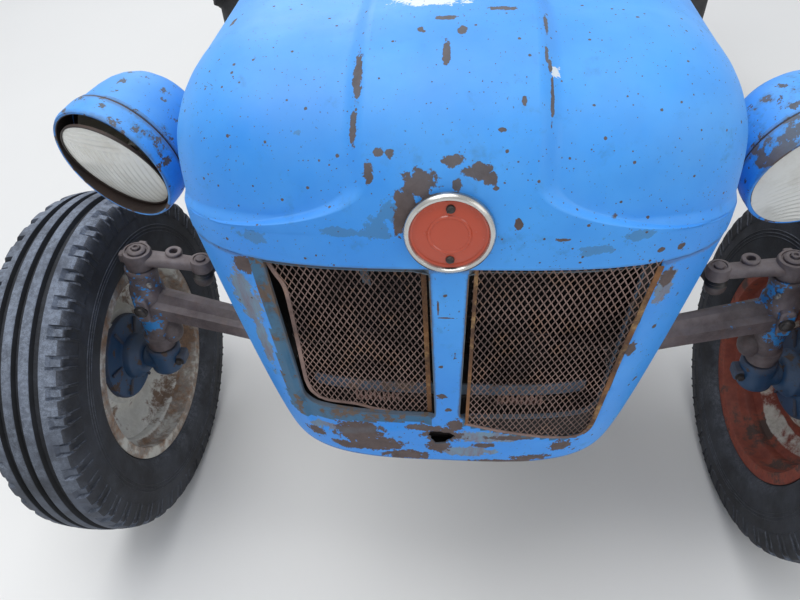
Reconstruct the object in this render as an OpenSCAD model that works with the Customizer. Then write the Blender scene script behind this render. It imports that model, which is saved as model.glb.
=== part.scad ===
/* [Vehicle] */
// Distance from the front axle to the rear axle
wheelbase = 1855; // [1840:5:1900]
// Distance between the middles of the front tyres
front_track = 1414; // [1400:2:1530]
// Distance between the middles of the rear tyres
rear_track = 1340; // [1320:10:1440]
// Height of the crankshaft and gearbox shafts above the ground
drive_z = 610; // [600:5:625]

/* [Front wheels] */
// Outer diameter of a front tyre
front_tyre_d = 730; // [700:5:740]
// Width of a front tyre
front_tyre_w = 160; // [145:5:165]
// Diameter of the front rim's bead seat
front_seat_d = 406; // [380:2:420]
// Width between the front rim's flanges
front_rim_w = 112; // [100:2:118]
// Lean of the front wheels, top outwards
camber = 1.5; // [0:0.5:3]
// Depth of the grooves between the front tyre's ribs
rib_depth = 9; // [4:1:12]

/* [Rear wheels] */
// Outer diameter of a rear tyre over its lugs
rear_tyre_d = 1230; // [1200:5:1260]
// Width of a rear tyre
rear_tyre_w = 290; // [260:5:300]
// Diameter of the rear rim's bead seat
rear_seat_d = 711; // [690:1:730]
// Width between the rear rim's flanges
rear_rim_w = 230; // [200:5:240]
// Lugs on each half of a rear tyre
lug_count = 20; // [16:1:22]
// Height of a lug above the carcass
lug_h = 36; // [25:1:45]
// Thickness of a lug
lug_w = 40; // [30:1:46]

/* [Front axle] */
// Distance from the kingpin to the middle of the wheel, at hub height
kingpin_offset = 82; // [80:1:100]
// Lean of the kingpin, top inwards
kingpin_lean = 7; // [4:0.5:9]
// Radius of the kingpin
kingpin_r = 17; // [14:1:19]
// Height of the steering arm above the hub, along the kingpin
kingpin_len = 300; // [285:5:310]
// Length of the steering arm
steer_arm = 120; // [105:5:130]
// How far the axle's middle lies ahead of the wheels
axle_sweep = 95; // [80:5:105]
// Height of the axle's middle pivot
axle_pivot_z = 520; // [505:5:530]

/* [Bonnet] */
// Distance from the front axle to the tip of the nose
nose_reach = 356; // [345:1:370]
// Length of the bonnet
bonnet_len = 1105; // [1095:5:1140]
// Width of the bonnet
bonnet_w = 670; // [640:5:690]
// Height of the bonnet's top above the nose
bonnet_z = 1158; // [1145:1:1190]
// How much the bonnet's top rises to its rear edge
bonnet_rise = 50; // [30:5:60]
// Height of the seam between the bonnet and the grille shell
seam_z = 945; // [935:5:955]
// Height of the grille shell's lower edge
shell_z = 564; // [555:1:570]
// Width of the grille shell at its lower edge
shell_low_w = 540; // [500:5:560]
// Thickness of the sheet metal
sheet = 3; // [2:0.5:4]
// Depth of the crease beside the bonnet's raised middle
crease = 8; // [3:1:14]
// Half width of the bonnet's raised middle
ridge_half = 84; // [60:2:100]

/* [Grille] */
// Half width of the grille's middle bar, at its top
bar_half = 22; // [16:1:28]
// Distance from the middle to the grille's outer edge, at its top
grille_half = 228; // [210:2:236]
// Distance from the middle to the grille's outer edge, at its bottom
grille_low_half = 197; // [180:1:204]
// Height of the grille opening's lower edge
grille_z = 655; // [640:5:680]
// Radius of the grille opening's lower corners
grille_corner_r = 34; // [20:2:50]
// Pitch of the mesh
mesh_pitch = 24; // [18:1:30]
// Width of the mesh's strands
mesh_strand = 3; // [2:0.5:5]
// Height of the badge's middle above the seam
badge_up = 49; // [40:1:55]
// Radius of the badge
badge_r = 48; // [40:1:54]

/* [Lamps] */
// Distance between the middles of the head lamps
lamp_span = 920; // [900:5:1000]
// Height of the head lamps above the seam
lamp_up = 0; // [-25:5:35]
// Distance from the front axle forward to the lamp glass
lamp_reach = 150; // [120:5:190]
// How far the head lamps are turned outwards
lamp_turn = 18; // [0:1:24]
// How far the head lamps point down
lamp_dip = 14; // [0:1:20]
// Radius of a lamp's rim
lamp_r = 90; // [84:1:96]
// Depth of a lamp's bowl
lamp_depth = 110; // [100:5:125]

/* [Engine] */
// Length of the engine block
engine_len = 560; // [550:5:570]
// Width of the engine block
block_w = 280; // [260:5:290]
// Width of the cylinder head
head_w = 210; // [190:5:230]
// Width of the radiator
radiator_w = 390; // [360:5:400]
// Radius of the fan's blades
fan_r = 180; // [150:5:190]
// Radius of the exhaust pipe
exhaust_r = 22; // [18:1:24]
// Radius of the silencer
silencer_r = 48; // [40:1:52]

/* [Transmission] */
// Length of the clutch housing
clutch_len = 310; // [300:5:320]
// Width of the gearbox
gearbox_w = 270; // [250:5:280]
// Width of the rear axle's middle housing
axle_box_w = 320; // [300:5:330]
// Radius of an axle tube
axle_tube_r = 62; // [55:1:70]
// Radius of a brake drum
brake_r = 165; // [150:5:180]
// Radius of a rear axle shaft
axle_shaft_r = 28; // [24:1:32]
// Radius of the power take-off shaft
pto_r = 17.5; // [15:0.5:20]

/* [Steering] */
// Tilt of the steering column from upright
column_tilt = 45; // [40:1:50]
// Distance along the column from the box to the steering wheel
column_len = 425; // [410:5:440]
// Diameter of the steering wheel
wheel_d = 410; // [380:10:430]
// Length of a drop arm
drop_arm = 170; // [160:5:180]

/* [Rear linkage] */
// Length of a lower link between its eyes
lower_link = 770; // [740:5:800]
// Distance between the lower links' rear eyes
link_span = 710; // [690:5:740]
// Distance between the lower links' front eyes
link_root_span = 420; // [410:5:440]
// Radius of the lower links' rear eye bores
hitch_r = 11; // [9:0.5:12.5]
// Length of a lift arm
lift_arm = 225; // [210:5:240]
// Radius of the top link bracket's bore
top_pin_r = 9.6; // [8:0.1:11]
// Radius of the drawbar's pin hole
drawbar_pin_r = 13; // [10:0.5:16]

/* [Driver's place] */
// Width of the seat pan
seat_w = 440; // [400:10:480]
// Depth of the seat pan
seat_d = 360; // [330:10:400]
// Height of the seat pan's lowest point
seat_z = 980; // [960:5:1010]
// Gap between a rear tyre and its mudguard
guard_gap = 50; // [40:5:60]
// Width of a mudguard's top
guard_w = 215; // [190:5:250]
// Height of the footplates
foot_z = 440; // [430:5:450]

/* [Fits] */
// Radial clearance of a shaft in its bore
run_gap = 0.05; // [0.02:0.01:0.1]
// Gap between faces that turn or seat beside each other
face_gap = 0.3; // [0.1:0.05:0.5]
// Gap between moving pieces that pass each other
pass_gap = 6; // [5:0.5:8]

/* [Hidden] */
$fn = 64;

blue = [0.07, 0.32, 0.68];
dark_blue = [0.06, 0.17, 0.3];
grease = [0.2, 0.18, 0.17];
rubber = [0.08, 0.08, 0.085];
rust = [0.35, 0.2, 0.12];
cream = [0.72, 0.68, 0.58];
steel = [0.5, 0.5, 0.5];

// The lower links' eyes and the tyres set the ends of the vehicle
link_eye_r = 24;
link_root_back = 30;
link_root_z = 405;
link_droop = 4;
rear_reach = link_root_back + lower_link * cos(link_droop) + link_eye_r;
front_reach = max(nose_reach, front_tyre_d / 2);
front_y = (front_reach - wheelbase - rear_reach) / 2;
rear_y = front_y + wheelbase;

function lerp(a, b, t) = a + (b - a) * t;
function clamp(t) = min(1, max(0, t));
function ease(t) = clamp(t) * clamp(t) * (3 - 2 * clamp(t));
function spow(v, e) = sign(v) * pow(abs(v), e);
function flat(rows) = [for (row = rows) each row];

// Children's +X axis is laid from p towards q
module along(p, q) {
  d = q - p;
  translate(p) rotate([0, -asin(d.z / norm(d)), atan2(d.y, d.x)]) children();
}
module rod(p, q, r) {
  along(p, q) rotate([0, 90, 0]) cylinder(r = r, h = norm(q - p));
}
module bar(p, q, wide, high) {
  along(p, q) translate([0, -wide / 2, -high / 2]) cube([norm(q - p), wide, high]);
}
// A block from its lowest to its highest corner
module block(low, high) {
  translate(low) cube(high - low);
}
// A cylinder that runs along X, from x = low to x = high
module drum_x(low, high, y, z, r) {
  translate([low, y, z]) rotate([0, 90, 0]) cylinder(r = r, h = high - low);
}
// A cylinder that runs along Y, from y = low to y = high
module drum_y(low, high, x, z, r) {
  translate([x, low, z]) rotate([-90, 0, 0]) cylinder(r = r, h = high - low);
}
// Children and their mirror image on the other side
module both() {
  children();
  mirror([1, 0, 0]) children();
}
module on_side(side) {
  if (side > 0) children();
  else mirror([1, 0, 0]) children();
}
// A round bar through a list of points, with a swollen elbow at each bend
module pipe(route, r) {
  for (i = [0:len(route) - 2]) rod(route[i], route[i + 1], r);
  for (i = [1:1:len(route) - 2]) translate(route[i]) rotate([0, 0, 45]) sphere(r = r + 3);
}
// A closed sheet between two grids of points that have the same rows and columns.
// holes lists [first row, last row, first column, last column] of cells that stay open.
module sheet_between(outer, inner, holes = []) {
  rows = len(outer);
  cols = len(outer[0]);
  count = rows * cols;
  open = function (i, j) i < 0 || j < 0 || i >= rows - 1 || j >= cols - 1
    || len([for (h = holes) if (i >= h[0] && i < h[1] && j >= h[2] && j < h[3]) 1]) > 0;
  at = function (i, j) i * cols + j;
  cells = [for (i = [0:rows - 2]) for (j = [0:cols - 2]) if (!open(i, j)) [i, j]];
  edges = [for (c = cells) let (i = c[0], j = c[1]) each [
    if (open(i - 1, j)) [at(i, j), at(i, j + 1)],
    if (open(i + 1, j)) [at(i + 1, j + 1), at(i + 1, j)],
    if (open(i, j - 1)) [at(i + 1, j), at(i, j)],
    if (open(i, j + 1)) [at(i, j + 1), at(i + 1, j + 1)]
  ]];
  polyhedron(
    points = concat(flat(outer), flat(inner)),
    faces = concat(
      [for (c = cells) let (i = c[0], j = c[1]) each [
        [at(i, j), at(i + 1, j), at(i + 1, j + 1)],
        [at(i, j), at(i + 1, j + 1), at(i, j + 1)],
        [count + at(i, j), count + at(i + 1, j + 1), count + at(i + 1, j)],
        [count + at(i, j), count + at(i, j + 1), count + at(i + 1, j + 1)]
      ]],
      [for (e = edges) each [
        [e[0], e[1], count + e[1]],
        [e[0], count + e[1], count + e[0]]
      ]]
    )
  );
}

// Bonnet and grille shell
bonnet_half = bonnet_w / 2;
fan_back = 135;                       // the nose's curves start this far ahead of the axle
nose_depth = nose_reach - fan_back;
bonnet_back = bonnet_len - nose_reach; // rear edge, behind the axle
shell_back = -20;                     // rear edge of the grille shell, which clears the axle lower down
function shell_back_at(z) = lerp(-fan_back + 2, shell_back, ease((z - 590) / 110));
top_round = 3.3;                      // how square the bonnet's section is
nose_round = 3.5;                     // how square the nose is in plan
brow_round = 2.5;                     // how square the brow is from the side
function top_at(y) = bonnet_z - seam_z + bonnet_rise * clamp((y + fan_back) / (bonnet_back + fan_back));
function brow_at(turn, high, deep) =
  pow(pow(cos(turn) / high, brow_round) + pow(sin(turn) / deep, brow_round), -1 / brow_round);
// The crease runs beside the raised middle and flares out into the band above the grille
flare_from = 64;
flare_to = 79;
crease_run = 14;
function crease_edge(turn) =
  let (t = clamp((turn - flare_from) / (flare_to - flare_from)))
  lerp(ridge_half, bonnet_half * 0.94, 1 - sqrt(1 - t * t));
// Angles of a row's points from the middle to the side: over the raised middle, then past the crease
function column_turns(turn, n) =
  let (edge = crease_edge(turn))
  let (on = asin(pow(edge / bonnet_half, n / 2)), off = asin(pow((edge + crease_run) / bonnet_half, n / 2)))
  concat([for (k = [0:6]) on * k / 6], [for (k = [0:13]) lerp(off, 90, k / 13)]);
function crease_at(x, turn) =
  let (past = x - crease_edge(turn), above = (flare_to - turn) * 4.2)
  past < 1 ? 0 : crease * (1 - ease((min(past, max(above, 0)) - 30) / 120));
function bonnet_row(turn, y, t) =
  let (high = top_at(y) - t, deep = nose_depth - t)
  let (reach = turn > 0 ? brow_at(turn, high, deep) : high)
  let (n = lerp(top_round, nose_round, turn / 90))
  let (half_row = [for (a = column_turns(turn, n))
    let (x = bonnet_half * spow(sin(a), 2 / n))
    let (r = reach * spow(cos(a), 2 / n) - crease_at(x, turn) * cos(a))
    [x * (1 - t / bonnet_half), front_y + y - r * sin(turn), seam_z + r * cos(turn)]])
  concat([for (k = [len(half_row) - 1:-1:1]) [-half_row[k].x, half_row[k].y, half_row[k].z]], half_row);
bonnet_steps = [bonnet_back, 540, 320, 100, 0, -70];
bonnet_turns = concat([for (a = [0:8:56]) a], [64, 68.5, 72.2, 75.2, 77.2, 78.4, 79, 81.5, 84.5, 87, 90]);
function bonnet_grid(t) = concat(
  [for (y = bonnet_steps) bonnet_row(0, y, t)],
  [for (turn = bonnet_turns) bonnet_row(turn, -fan_back, t)]);

function shell_half(z) = lerp(shell_low_w / 2, bonnet_half - 1, pow(clamp((z - shell_z) / (seam_z - shell_z)), 0.75));
function grille_edge(z) =
  let (up = (z - grille_z) / (seam_z - grille_z))
  let (drop = clamp((grille_z + grille_corner_r - z) / grille_corner_r))
  lerp(grille_low_half, grille_half, up) - grille_corner_r * (1 - sqrt(1 - drop * drop));
function bar_edge(z) = lerp(bar_half * 0.75, bar_half, (z - grille_z) / (seam_z - grille_z));
// Distance of the nose's face ahead of the curves' start, at x
function face_at(x, z, t) =
  let (deep = nose_depth - t, half = shell_half(z) - t)
  deep * pow(max(0, 1 - pow(abs(x) / half, nose_round)), 1 / nose_round);
function shell_row(z, t) =
  let (half = shell_half(z) - t, out = grille_edge(z), mid = bar_edge(z))
  let (turn_out = asin(pow(out / half, nose_round / 2)))
  let (side = [for (a = [90:-(90 - turn_out) / 8:turn_out + 0.01]) half * spow(sin(a), 2 / nose_round)])
  let (right = concat(side, [for (k = [0:7]) lerp(out, mid, k / 7)]))
  concat(
    [[-half, front_y + shell_back_at(z), z]],
    [for (x = right) [-x, front_y - fan_back - face_at(x, z, t), z]],
    [for (k = [len(right) - 1:-1:0]) [right[k], front_y - fan_back - face_at(right[k], z, t), z]],
    [[half, front_y + shell_back_at(z), z]]);
shell_levels = concat(
  [seam_z, seam_z - 8, 870, 800, 740, 705],
  [for (a = [0:30:90]) grille_z + grille_corner_r * (1 - sin(a))],
  [632, 610, 590, 570, shell_z]);
function shell_grid(t) = [for (z = shell_levels) shell_row(z, t)];
module bonnet() {
  color(blue) sheet_between(bonnet_grid(sheet), bonnet_grid(0));
}
module grille_shell() {
  // Columns 9 to 16 and 17 to 24 lie on the two openings, rows 1 to 9
  color(blue) sheet_between(shell_grid(sheet), shell_grid(0), [[1, 9, 9, 16], [1, 9, 17, 24]]);
}

// Hinge of the bonnet, low in the nose
hinge_y = -nose_reach + 36;
hinge_z = shell_z + 22;
hinge_pin_r = 8;
hinge_eye_r = 15;
hinge_arm_x = 80;
module hinge_bar() {
  ear_x = 112;
  ear_w = 10;
  seat = fan_back + face_at(ear_x + ear_w, hinge_z, sheet) - face_gap;
  color(dark_blue) {
    drum_x(-ear_x - ear_w, ear_x + ear_w, front_y + hinge_y, hinge_z, hinge_pin_r);
    both() block([ear_x, front_y - seat, hinge_z - 14], [ear_x + ear_w, front_y + hinge_y, hinge_z + 14]);
  }
}

// Front support, axle and steering pieces
beam_w = 48;
beam_h = 70;
engine_front = 60;
pulley_front = 24;
pulley_r = 74;
bolster_z = 600;
tray_half = 195;
tray_reach = 290;
module front_bolster() {
  ear_w = 30;
  gap = beam_w / 2 + face_gap;
  color(grease) difference() {
    union() {
      block([-105, front_y - 150, bolster_z - 38], [105, front_y + engine_front, bolster_z]);
      block([-tray_half, front_y - tray_reach, shell_z + 2], [tray_half, front_y - 100, shell_z + 6]);
      for (s = [-1, 1])
        block([-48, front_y - axle_sweep + (s < 0 ? -gap - ear_w : gap), axle_pivot_z - 40],
          [48, front_y - axle_sweep + (s < 0 ? -gap : gap + ear_w), bolster_z - 20]);
      drum_y(front_y - axle_sweep - gap - ear_w - 8, front_y - axle_sweep + gap + ear_w + 8, 0, axle_pivot_z, 18);
      both() {
        bar([hinge_arm_x, front_y - 140, bolster_z - 28], [hinge_arm_x, front_y + hinge_y, hinge_z], 18, 26);
        drum_x(hinge_arm_x - 9, hinge_arm_x + 9, front_y + hinge_y, hinge_z, hinge_eye_r);
      }
    }
    drum_x(-140, 140, front_y + hinge_y, hinge_z, hinge_pin_r + run_gap);
    drum_y(front_y + pulley_front - pass_gap, front_y + engine_front + 1, 0, drive_z, pulley_r + pass_gap);
  }
}

// Front wheels stand on the lowest point of their leaning treads
function front_tread(x) = front_tyre_d / 2 - x * x / 600;
tread_half = front_tyre_w / 2 - 11;
front_grooves = [0, 33];
groove_half = 5;
front_ribs = [for (g = front_grooves) each [max(0, g - groove_half), g + groove_half], tread_half];
front_hub_z = max([for (x = front_ribs) front_tread(x) * cos(camber) + x * sin(camber)]);
kingpin_x = front_track / 2 - kingpin_offset;
kingpin_z = front_hub_z + kingpin_offset * sin(camber);
module at_kingpin(side) {
  on_side(side) translate([kingpin_x, front_y, kingpin_z]) rotate([0, -kingpin_lean, 0]) children();
}
module at_front_wheel(side) {
  on_side(side) translate([kingpin_x, front_y, kingpin_z]) rotate([0, camber, 0])
    translate([kingpin_offset, 0, 0]) rotate([0, 90, 0]) children();
}
boss_r = 28;
boss_low = 42;
boss_high = kingpin_len - 32;
stub_r = 20;
ball_drop = 46;
ball_stud_r = 9;
arm_ball = [kingpin_x - kingpin_len * sin(kingpin_lean) - steer_arm * cos(kingpin_lean), front_y,
  kingpin_z + kingpin_len * cos(kingpin_lean) - steer_arm * sin(kingpin_lean)];
boss_mid = 178;
beam_mid = [0, front_y - axle_sweep, axle_pivot_z];
beam_out = [kingpin_x - boss_mid * sin(kingpin_lean), front_y, kingpin_z + boss_mid * cos(kingpin_lean)];
arm_root = beam_mid + [160, 0, 0];
arm_h = 62;
module axle_beam() {
  mid = beam_mid;
  color(grease) difference() {
    union() {
      block(mid - [220, beam_w / 2, beam_h / 2], mid + [220, beam_w / 2, beam_h / 2]);
      both() {
        bar(arm_root, beam_out, 38, arm_h);
        translate(mid + [200, -beam_w / 2 - 6, -beam_h / 2 - 6]) cube([60, beam_w + 12, beam_h + 12]);
      }
      for (side = [-1, 1]) at_kingpin(side) translate([0, 0, boss_low]) cylinder(r = boss_r, h = boss_high - boss_low);
    }
    for (side = [-1, 1]) at_kingpin(side) cylinder(r = kingpin_r + run_gap, h = kingpin_len);
    drum_y(mid.y - 60, mid.y + 60, 0, mid.z, 18 + run_gap);
  }
}
module knuckle(side) {
  color(dark_blue) {
    at_kingpin(side) {
      translate([0, 0, -34]) cylinder(r = 33, h = boss_low - face_gap + 34);
      cylinder(r = kingpin_r, h = kingpin_len + 14);
      translate([0, 0, boss_high + face_gap]) cylinder(r = 26, h = kingpin_len + 8 - boss_high - face_gap);
      translate([-steer_arm, -15, kingpin_len - 24]) cube([steer_arm, 30, 20]);
      translate([-steer_arm, 0, kingpin_len - 26]) cylinder(r = 20, h = 26);
      translate([-steer_arm, 0, kingpin_len - ball_drop]) cylinder(r = ball_stud_r, h = ball_drop);
      translate([-steer_arm / 2, 0, kingpin_len - 20]) cylinder(r = 11, h = 28);
    }
    at_front_wheel(side) translate([0, 0, -kingpin_offset]) cylinder(r = stub_r, h = kingpin_offset + 40);
  }
}
module knuckle_left() knuckle(1);
module knuckle_right() knuckle(-1);

// Outline of one half of a tyre's section as [radius, distance from the middle]
function front_tyre_half() =
  let (seat = front_seat_d / 2, half = front_tyre_w / 2, bead = front_rim_w / 2)
  concat(
    flat([for (g = front_grooves) concat(
      g == 0 ? [[front_tread(0) - rib_depth, 0]]
        : [[front_tread(g - groove_half), g - groove_half], [front_tread(g) - rib_depth, g - 3]],
      [[front_tread(g) - rib_depth, g + 3], [front_tread(g + groove_half), g + groove_half]])]),
    [[front_tread(tread_half), tread_half], [front_tread(tread_half) - 22, half - 4],
     [lerp(seat, front_tyre_d / 2, 0.6), half], [lerp(seat, front_tyre_d / 2, 0.35), half - 3],
     [seat + 22, bead + 5], [seat + 19, bead], [seat, bead]]);
module ring_from(half) {
  rotate_extrude() polygon(concat(half, [for (k = [len(half) - 1:-1:0]) [half[k].x, -half[k].y]]));
}
module front_tyre(side) {
  color(rubber) at_front_wheel(side) ring_from(front_tyre_half());
}
module front_tyre_left() front_tyre(1);
module front_tyre_right() front_tyre(-1);

// Outer face of a rim and the same face again one wall further in
module rim(seat, half, flange, well, well_half, wall) {
  path = [[seat + flange, half], [seat, half], [seat, well_half + 14], [seat - well, well_half]];
  inner = [[seat - well - wall, well_half - 2], [seat - wall, well_half + 10], [seat - wall, half + wall],
    [seat + flange, half + wall]];
  side = concat(path, [for (k = [3:-1:0]) [path[k].x, -path[k].y]]);
  back = concat([for (k = [3:-1:0]) [inner[k].x, -inner[k].y]], inner);
  rotate_extrude() polygon(concat(side, back));
}
rim_wall = 5;
front_well = 16;
hub_r = 50;
disc_at = 12;
module front_rim(side) {
  seat = front_seat_d / 2;
  color(cream) at_front_wheel(side) {
    rim(seat, front_rim_w / 2, 19, front_well, 22, rim_wall);
    rotate_extrude() polygon([[hub_r + 1, disc_at], [95, disc_at], [130, disc_at + 12], [seat - front_well - 3, -6],
      [seat - front_well - 3, 0], [132, disc_at + 18], [93, disc_at + 6], [hub_r + 1, disc_at + 6]]);
  }
}
module front_rim_left() front_rim(1);
module front_rim_right() front_rim(-1);
module front_hub(side) {
  low = 33 + 9 - kingpin_offset;
  color(dark_blue) at_front_wheel(side) rotate_extrude() polygon([
    [stub_r + run_gap, low], [38, low], [hub_r - 2, low + 14], [hub_r - 2, disc_at - 14 - face_gap],
    [76, disc_at - 14 - face_gap], [76, disc_at], [hub_r, disc_at], [hub_r, 34], [34, 60], [0, 66], [0, 42],
    [stub_r + run_gap, 42]]);
}
module front_hub_left() front_hub(1);
module front_hub_right() front_hub(-1);

rod_ball_r = 20;
rod_root = [175, front_y + 860, 430];
module radius_rods() {
  out = lerp(arm_root, beam_out, 0.36) - [0, 0, arm_h / 2 + rod_ball_r + 2 * face_gap];
  color(grease) both() {
    rod(out, rod_root, 13);
    for (p = [out, rod_root]) translate(p) sphere(r = rod_ball_r);
  }
}

// Engine and what stands on it
engine_back = engine_front + engine_len;
deck_z = 860;
head_z = 935;
rocker_z = 1020;
pump_z = 800;
module radiator() {
  half = radiator_w / 2;
  color([0.12, 0.12, 0.13]) {
    block([-half, front_y - 125, bolster_z], [half, front_y - 67, bolster_z + 42]);
    block([-half + 8, front_y - 120, bolster_z + 42], [half - 8, front_y - 72, 1000]);
    block([-half, front_y - 128, 1000], [half, front_y - 64, 1075]);
    translate([0, front_y - 96, 1075]) cylinder(r = 26, h = 28);
  }
}
module fan() {
  mid = [0, front_y, pump_z];
  color([0.6, 0.1, 0.08]) {
    drum_y(front_y - 38, front_y + 30 - face_gap, 0, pump_z, 14);
    drum_y(front_y + 2, front_y + 22, 0, pump_z, 60);
    drum_y(front_y - 36, front_y - 24, 0, pump_z, 44);
    for (k = [0:3]) translate(mid + [0, -30, 0]) rotate([0, k * 90 + 20, 0])
      translate([30, 0, 0]) rotate([28, 0, 0]) translate([0, -2, -38]) cube([fan_r - 34, 4, 76]);
  }
}
module engine_block() {
  half = block_w / 2;
  color(grease) {
    block([-half + 25, front_y + engine_front, 400], [half - 25, front_y + engine_back, 520]);
    block([-half, front_y + engine_front, 520], [half, front_y + engine_back, deck_z]);
    drum_y(front_y + 30, front_y + engine_front, 0, pump_z, 48);
    drum_y(front_y + pulley_front, front_y + engine_front, 0, drive_z, pulley_r);
  }
}
module cylinder_head() {
  half = head_w / 2;
  low = front_y + engine_front + 8;
  high = front_y + engine_back - 8;
  color(grease) {
    block([-half, low, deck_z], [half, high, head_z]);
    block([-half + 35, low + 15, head_z], [half - 35, high - 15, rocker_z - 30]);
    drum_y(low + 15, high - 15, 0, rocker_z - 70, 70);
    for (k = [0:2]) translate([half - 20, low + 90 + k * 170, head_z]) cylinder(r = 12, h = 40);
  }
}
tank_h = 90;
tank_z = bonnet_z - 23 - tank_h;
cowl_front = bonnet_back + pass_gap;
module fuel_tank() {
  color(dark_blue) {
    block([-190, front_y + engine_front, tank_z], [190, front_y + engine_back + 25 - pass_gap, tank_z + tank_h]);
    both() for (y = [215, 400]) block([75, front_y + y, head_z], [95, front_y + y + 30, tank_z]);
    translate([0, front_y + 420, tank_z + tank_h]) cylinder(r = 30, h = 12);
  }
}
module exhaust() {
  side = head_w / 2;
  out = block_w / 2 + exhaust_r + 5;
  low = 340;
  color(rust) {
    block([side, front_y + 120, deck_z + 8], [side + 45, front_y + 570, deck_z + 60]);
    pipe([[side + 20, front_y + 420, deck_z + 34], [out, front_y + 420, deck_z + 34], [out, front_y + 420, low],
      [out, front_y + 1500, low]], exhaust_r);
    drum_y(front_y + 700, front_y + 1120, out, low, silencer_r);
  }
}
module air_cleaner() {
  at = [-215, front_y + 140, 0];
  color(dark_blue) {
    translate(at) rotate_extrude() polygon([[0, 610], [60, 610], [68, 618], [68, 812], [60, 820], [40, 824],
      [40, 850], [24, 856], [24, 915], [0, 920]]);
    block([-160, at.y - 20, 700], [-block_w / 2, at.y + 20, 740]);
    drum_x(at.x, -head_w / 2, at.y, 892, 20);
  }
}
module injection_pump() {
  side = -block_w / 2;
  color(steel) {
    block([side - 70, front_y + 330, 620], [side, front_y + 480, 700]);
    for (k = [0:2]) translate([side - 40, front_y + 360 + k * 42, 700]) cylinder(r = 12, h = 34);
    block([side - 30, front_y + 500, 730], [side, front_y + 610, 770]);
    for (k = [0, 1]) translate([side - 42, front_y + 527 + k * 56, 640]) cylinder(r = 26, h = 130);
  }
}
module dynamo() {
  side = block_w / 2;
  color(dark_blue) {
    drum_y(front_y + 90, front_y + 290, side + 62, 680, 55);
    drum_y(front_y + 50, front_y + 90, side + 62, 680, 14);
    drum_y(front_y + 50, front_y + 68, side + 62, 680, 40);
    block([side, front_y + 120, 660], [side + 30, front_y + 260, 700]);
  }
}

// Transmission
clutch_back = engine_back + clutch_len;
axle_box_front = wheelbase - 215;
axle_box_back = wheelbase + 190;
module clutch_housing() {
  low = front_y + engine_back + face_gap;
  color(grease) difference() {
    union() {
      translate([0, low, drive_z]) rotate([-90, 0, 0]) cylinder(r1 = 190, r2 = 145, h = clutch_len - face_gap);
      block([-120, low, 400], [120, front_y + clutch_back, 800]);
      both() block([120, low + 215, 405], [rod_root.x - 20 - face_gap, low + 265, 455]);
    }
  }
}
module gearbox() {
  half = gearbox_w / 2;
  color(grease) {
    block([-half, front_y + clutch_back, 410], [half, front_y + axle_box_front, 800]);
    block([-80, front_y + clutch_back + 200, 800], [80, front_y + clutch_back + 430, 822]);
  }
}
rear_hub_z = rear_tyre_d / 2;
rear_disc_x = rear_track / 2 - 40;
guard_x = rear_track / 2 - rear_tyre_w / 2 - 20;
shaft_in = 60;
tube_end = rear_disc_x - 26;
module rear_axle() {
  half = axle_box_w / 2;
  color(grease) difference() {
    union() {
      block([-half, front_y + axle_box_front, 400], [half, front_y + axle_box_back, 790]);
      both() {
        translate([half, rear_y, rear_hub_z]) rotate([0, 90, 0]) cylinder(r1 = 120, r2 = axle_tube_r + 8, h = 110);
        drum_x(half, tube_end, rear_y, rear_hub_z, axle_tube_r);
        drum_x(guard_x - 75, guard_x, rear_y, rear_hub_z, brake_r);
        drum_x(half, link_root_span / 2 - 22, rear_y + link_root_back, link_root_z + 45, 30);
        block([half - 20, rear_y + link_root_back - 30, link_root_z - 22],
          [link_root_span / 2 - 22, rear_y + link_root_back + 30, link_root_z + 60]);
        drum_x(half, link_root_span / 2 + 24, rear_y + link_root_back, link_root_z, 12);
      }
      drum_y(front_y + axle_box_back, front_y + axle_box_back + 12, 0, 540, 62);
      drum_y(front_y + axle_box_back + 12, front_y + axle_box_back + 88, 0, 540, pto_r);
    }
    both() drum_x(tube_end - shaft_in, tube_end + 1, rear_y, rear_hub_z, axle_shaft_r + run_gap);
  }
}

// Rear wheels
rear_carcass = rear_tyre_d / 2 - lug_h;
rear_flange = 22;
function rear_tyre_half() =
  let (seat = rear_seat_d / 2, half = rear_tyre_w / 2, bead = rear_rim_w / 2)
  [[rear_carcass, 0], [rear_carcass - 6, half * 0.5], [rear_carcass - 22, half * 0.83],
   [rear_carcass - 50, half * 0.97], [lerp(seat, rear_carcass, 0.45), half], [seat + 40, bead + 12],
   [seat + rear_flange + 1, bead], [seat, bead]];
module at_rear_wheel(side) {
  on_side(side) translate([rear_track / 2, rear_y, rear_hub_z]) rotate([0, 90, 0]) children();
}
module lugs() {
  half = rear_tyre_w / 2;
  lean = lug_w * 0.7;
  intersection() {
    for (k = [0:lug_count - 1]) for (s = [-1, 1])
      rotate([0, 0, (k + (s > 0 ? 0.5 : 0)) * 360 / lug_count]) rotate([0, 90, 0])
        translate([0, 0, rear_carcass - 60]) linear_extrude(height = lug_h + 66)
          polygon([[s * 6, -lean], [s * 6, lean - 30], [-s * half, lean + 62], [-s * half, 62 - lean + 8]]);
    rotate_extrude() polygon([[rear_carcass - 60, -half], [rear_tyre_d / 2 - 42, -half], [rear_tyre_d / 2 - 6, -half * 0.88],
      [rear_tyre_d / 2, -half * 0.6], [rear_tyre_d / 2, half * 0.6], [rear_tyre_d / 2 - 6, half * 0.88],
      [rear_tyre_d / 2 - 42, half], [rear_carcass - 60, half]]);
  }
}
module rear_tyre(side) {
  color(rubber) at_rear_wheel(side) {
    ring_from(rear_tyre_half());
    lugs();
  }
}
module rear_tyre_left() rear_tyre(1);
module rear_tyre_right() rear_tyre(-1);
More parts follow.
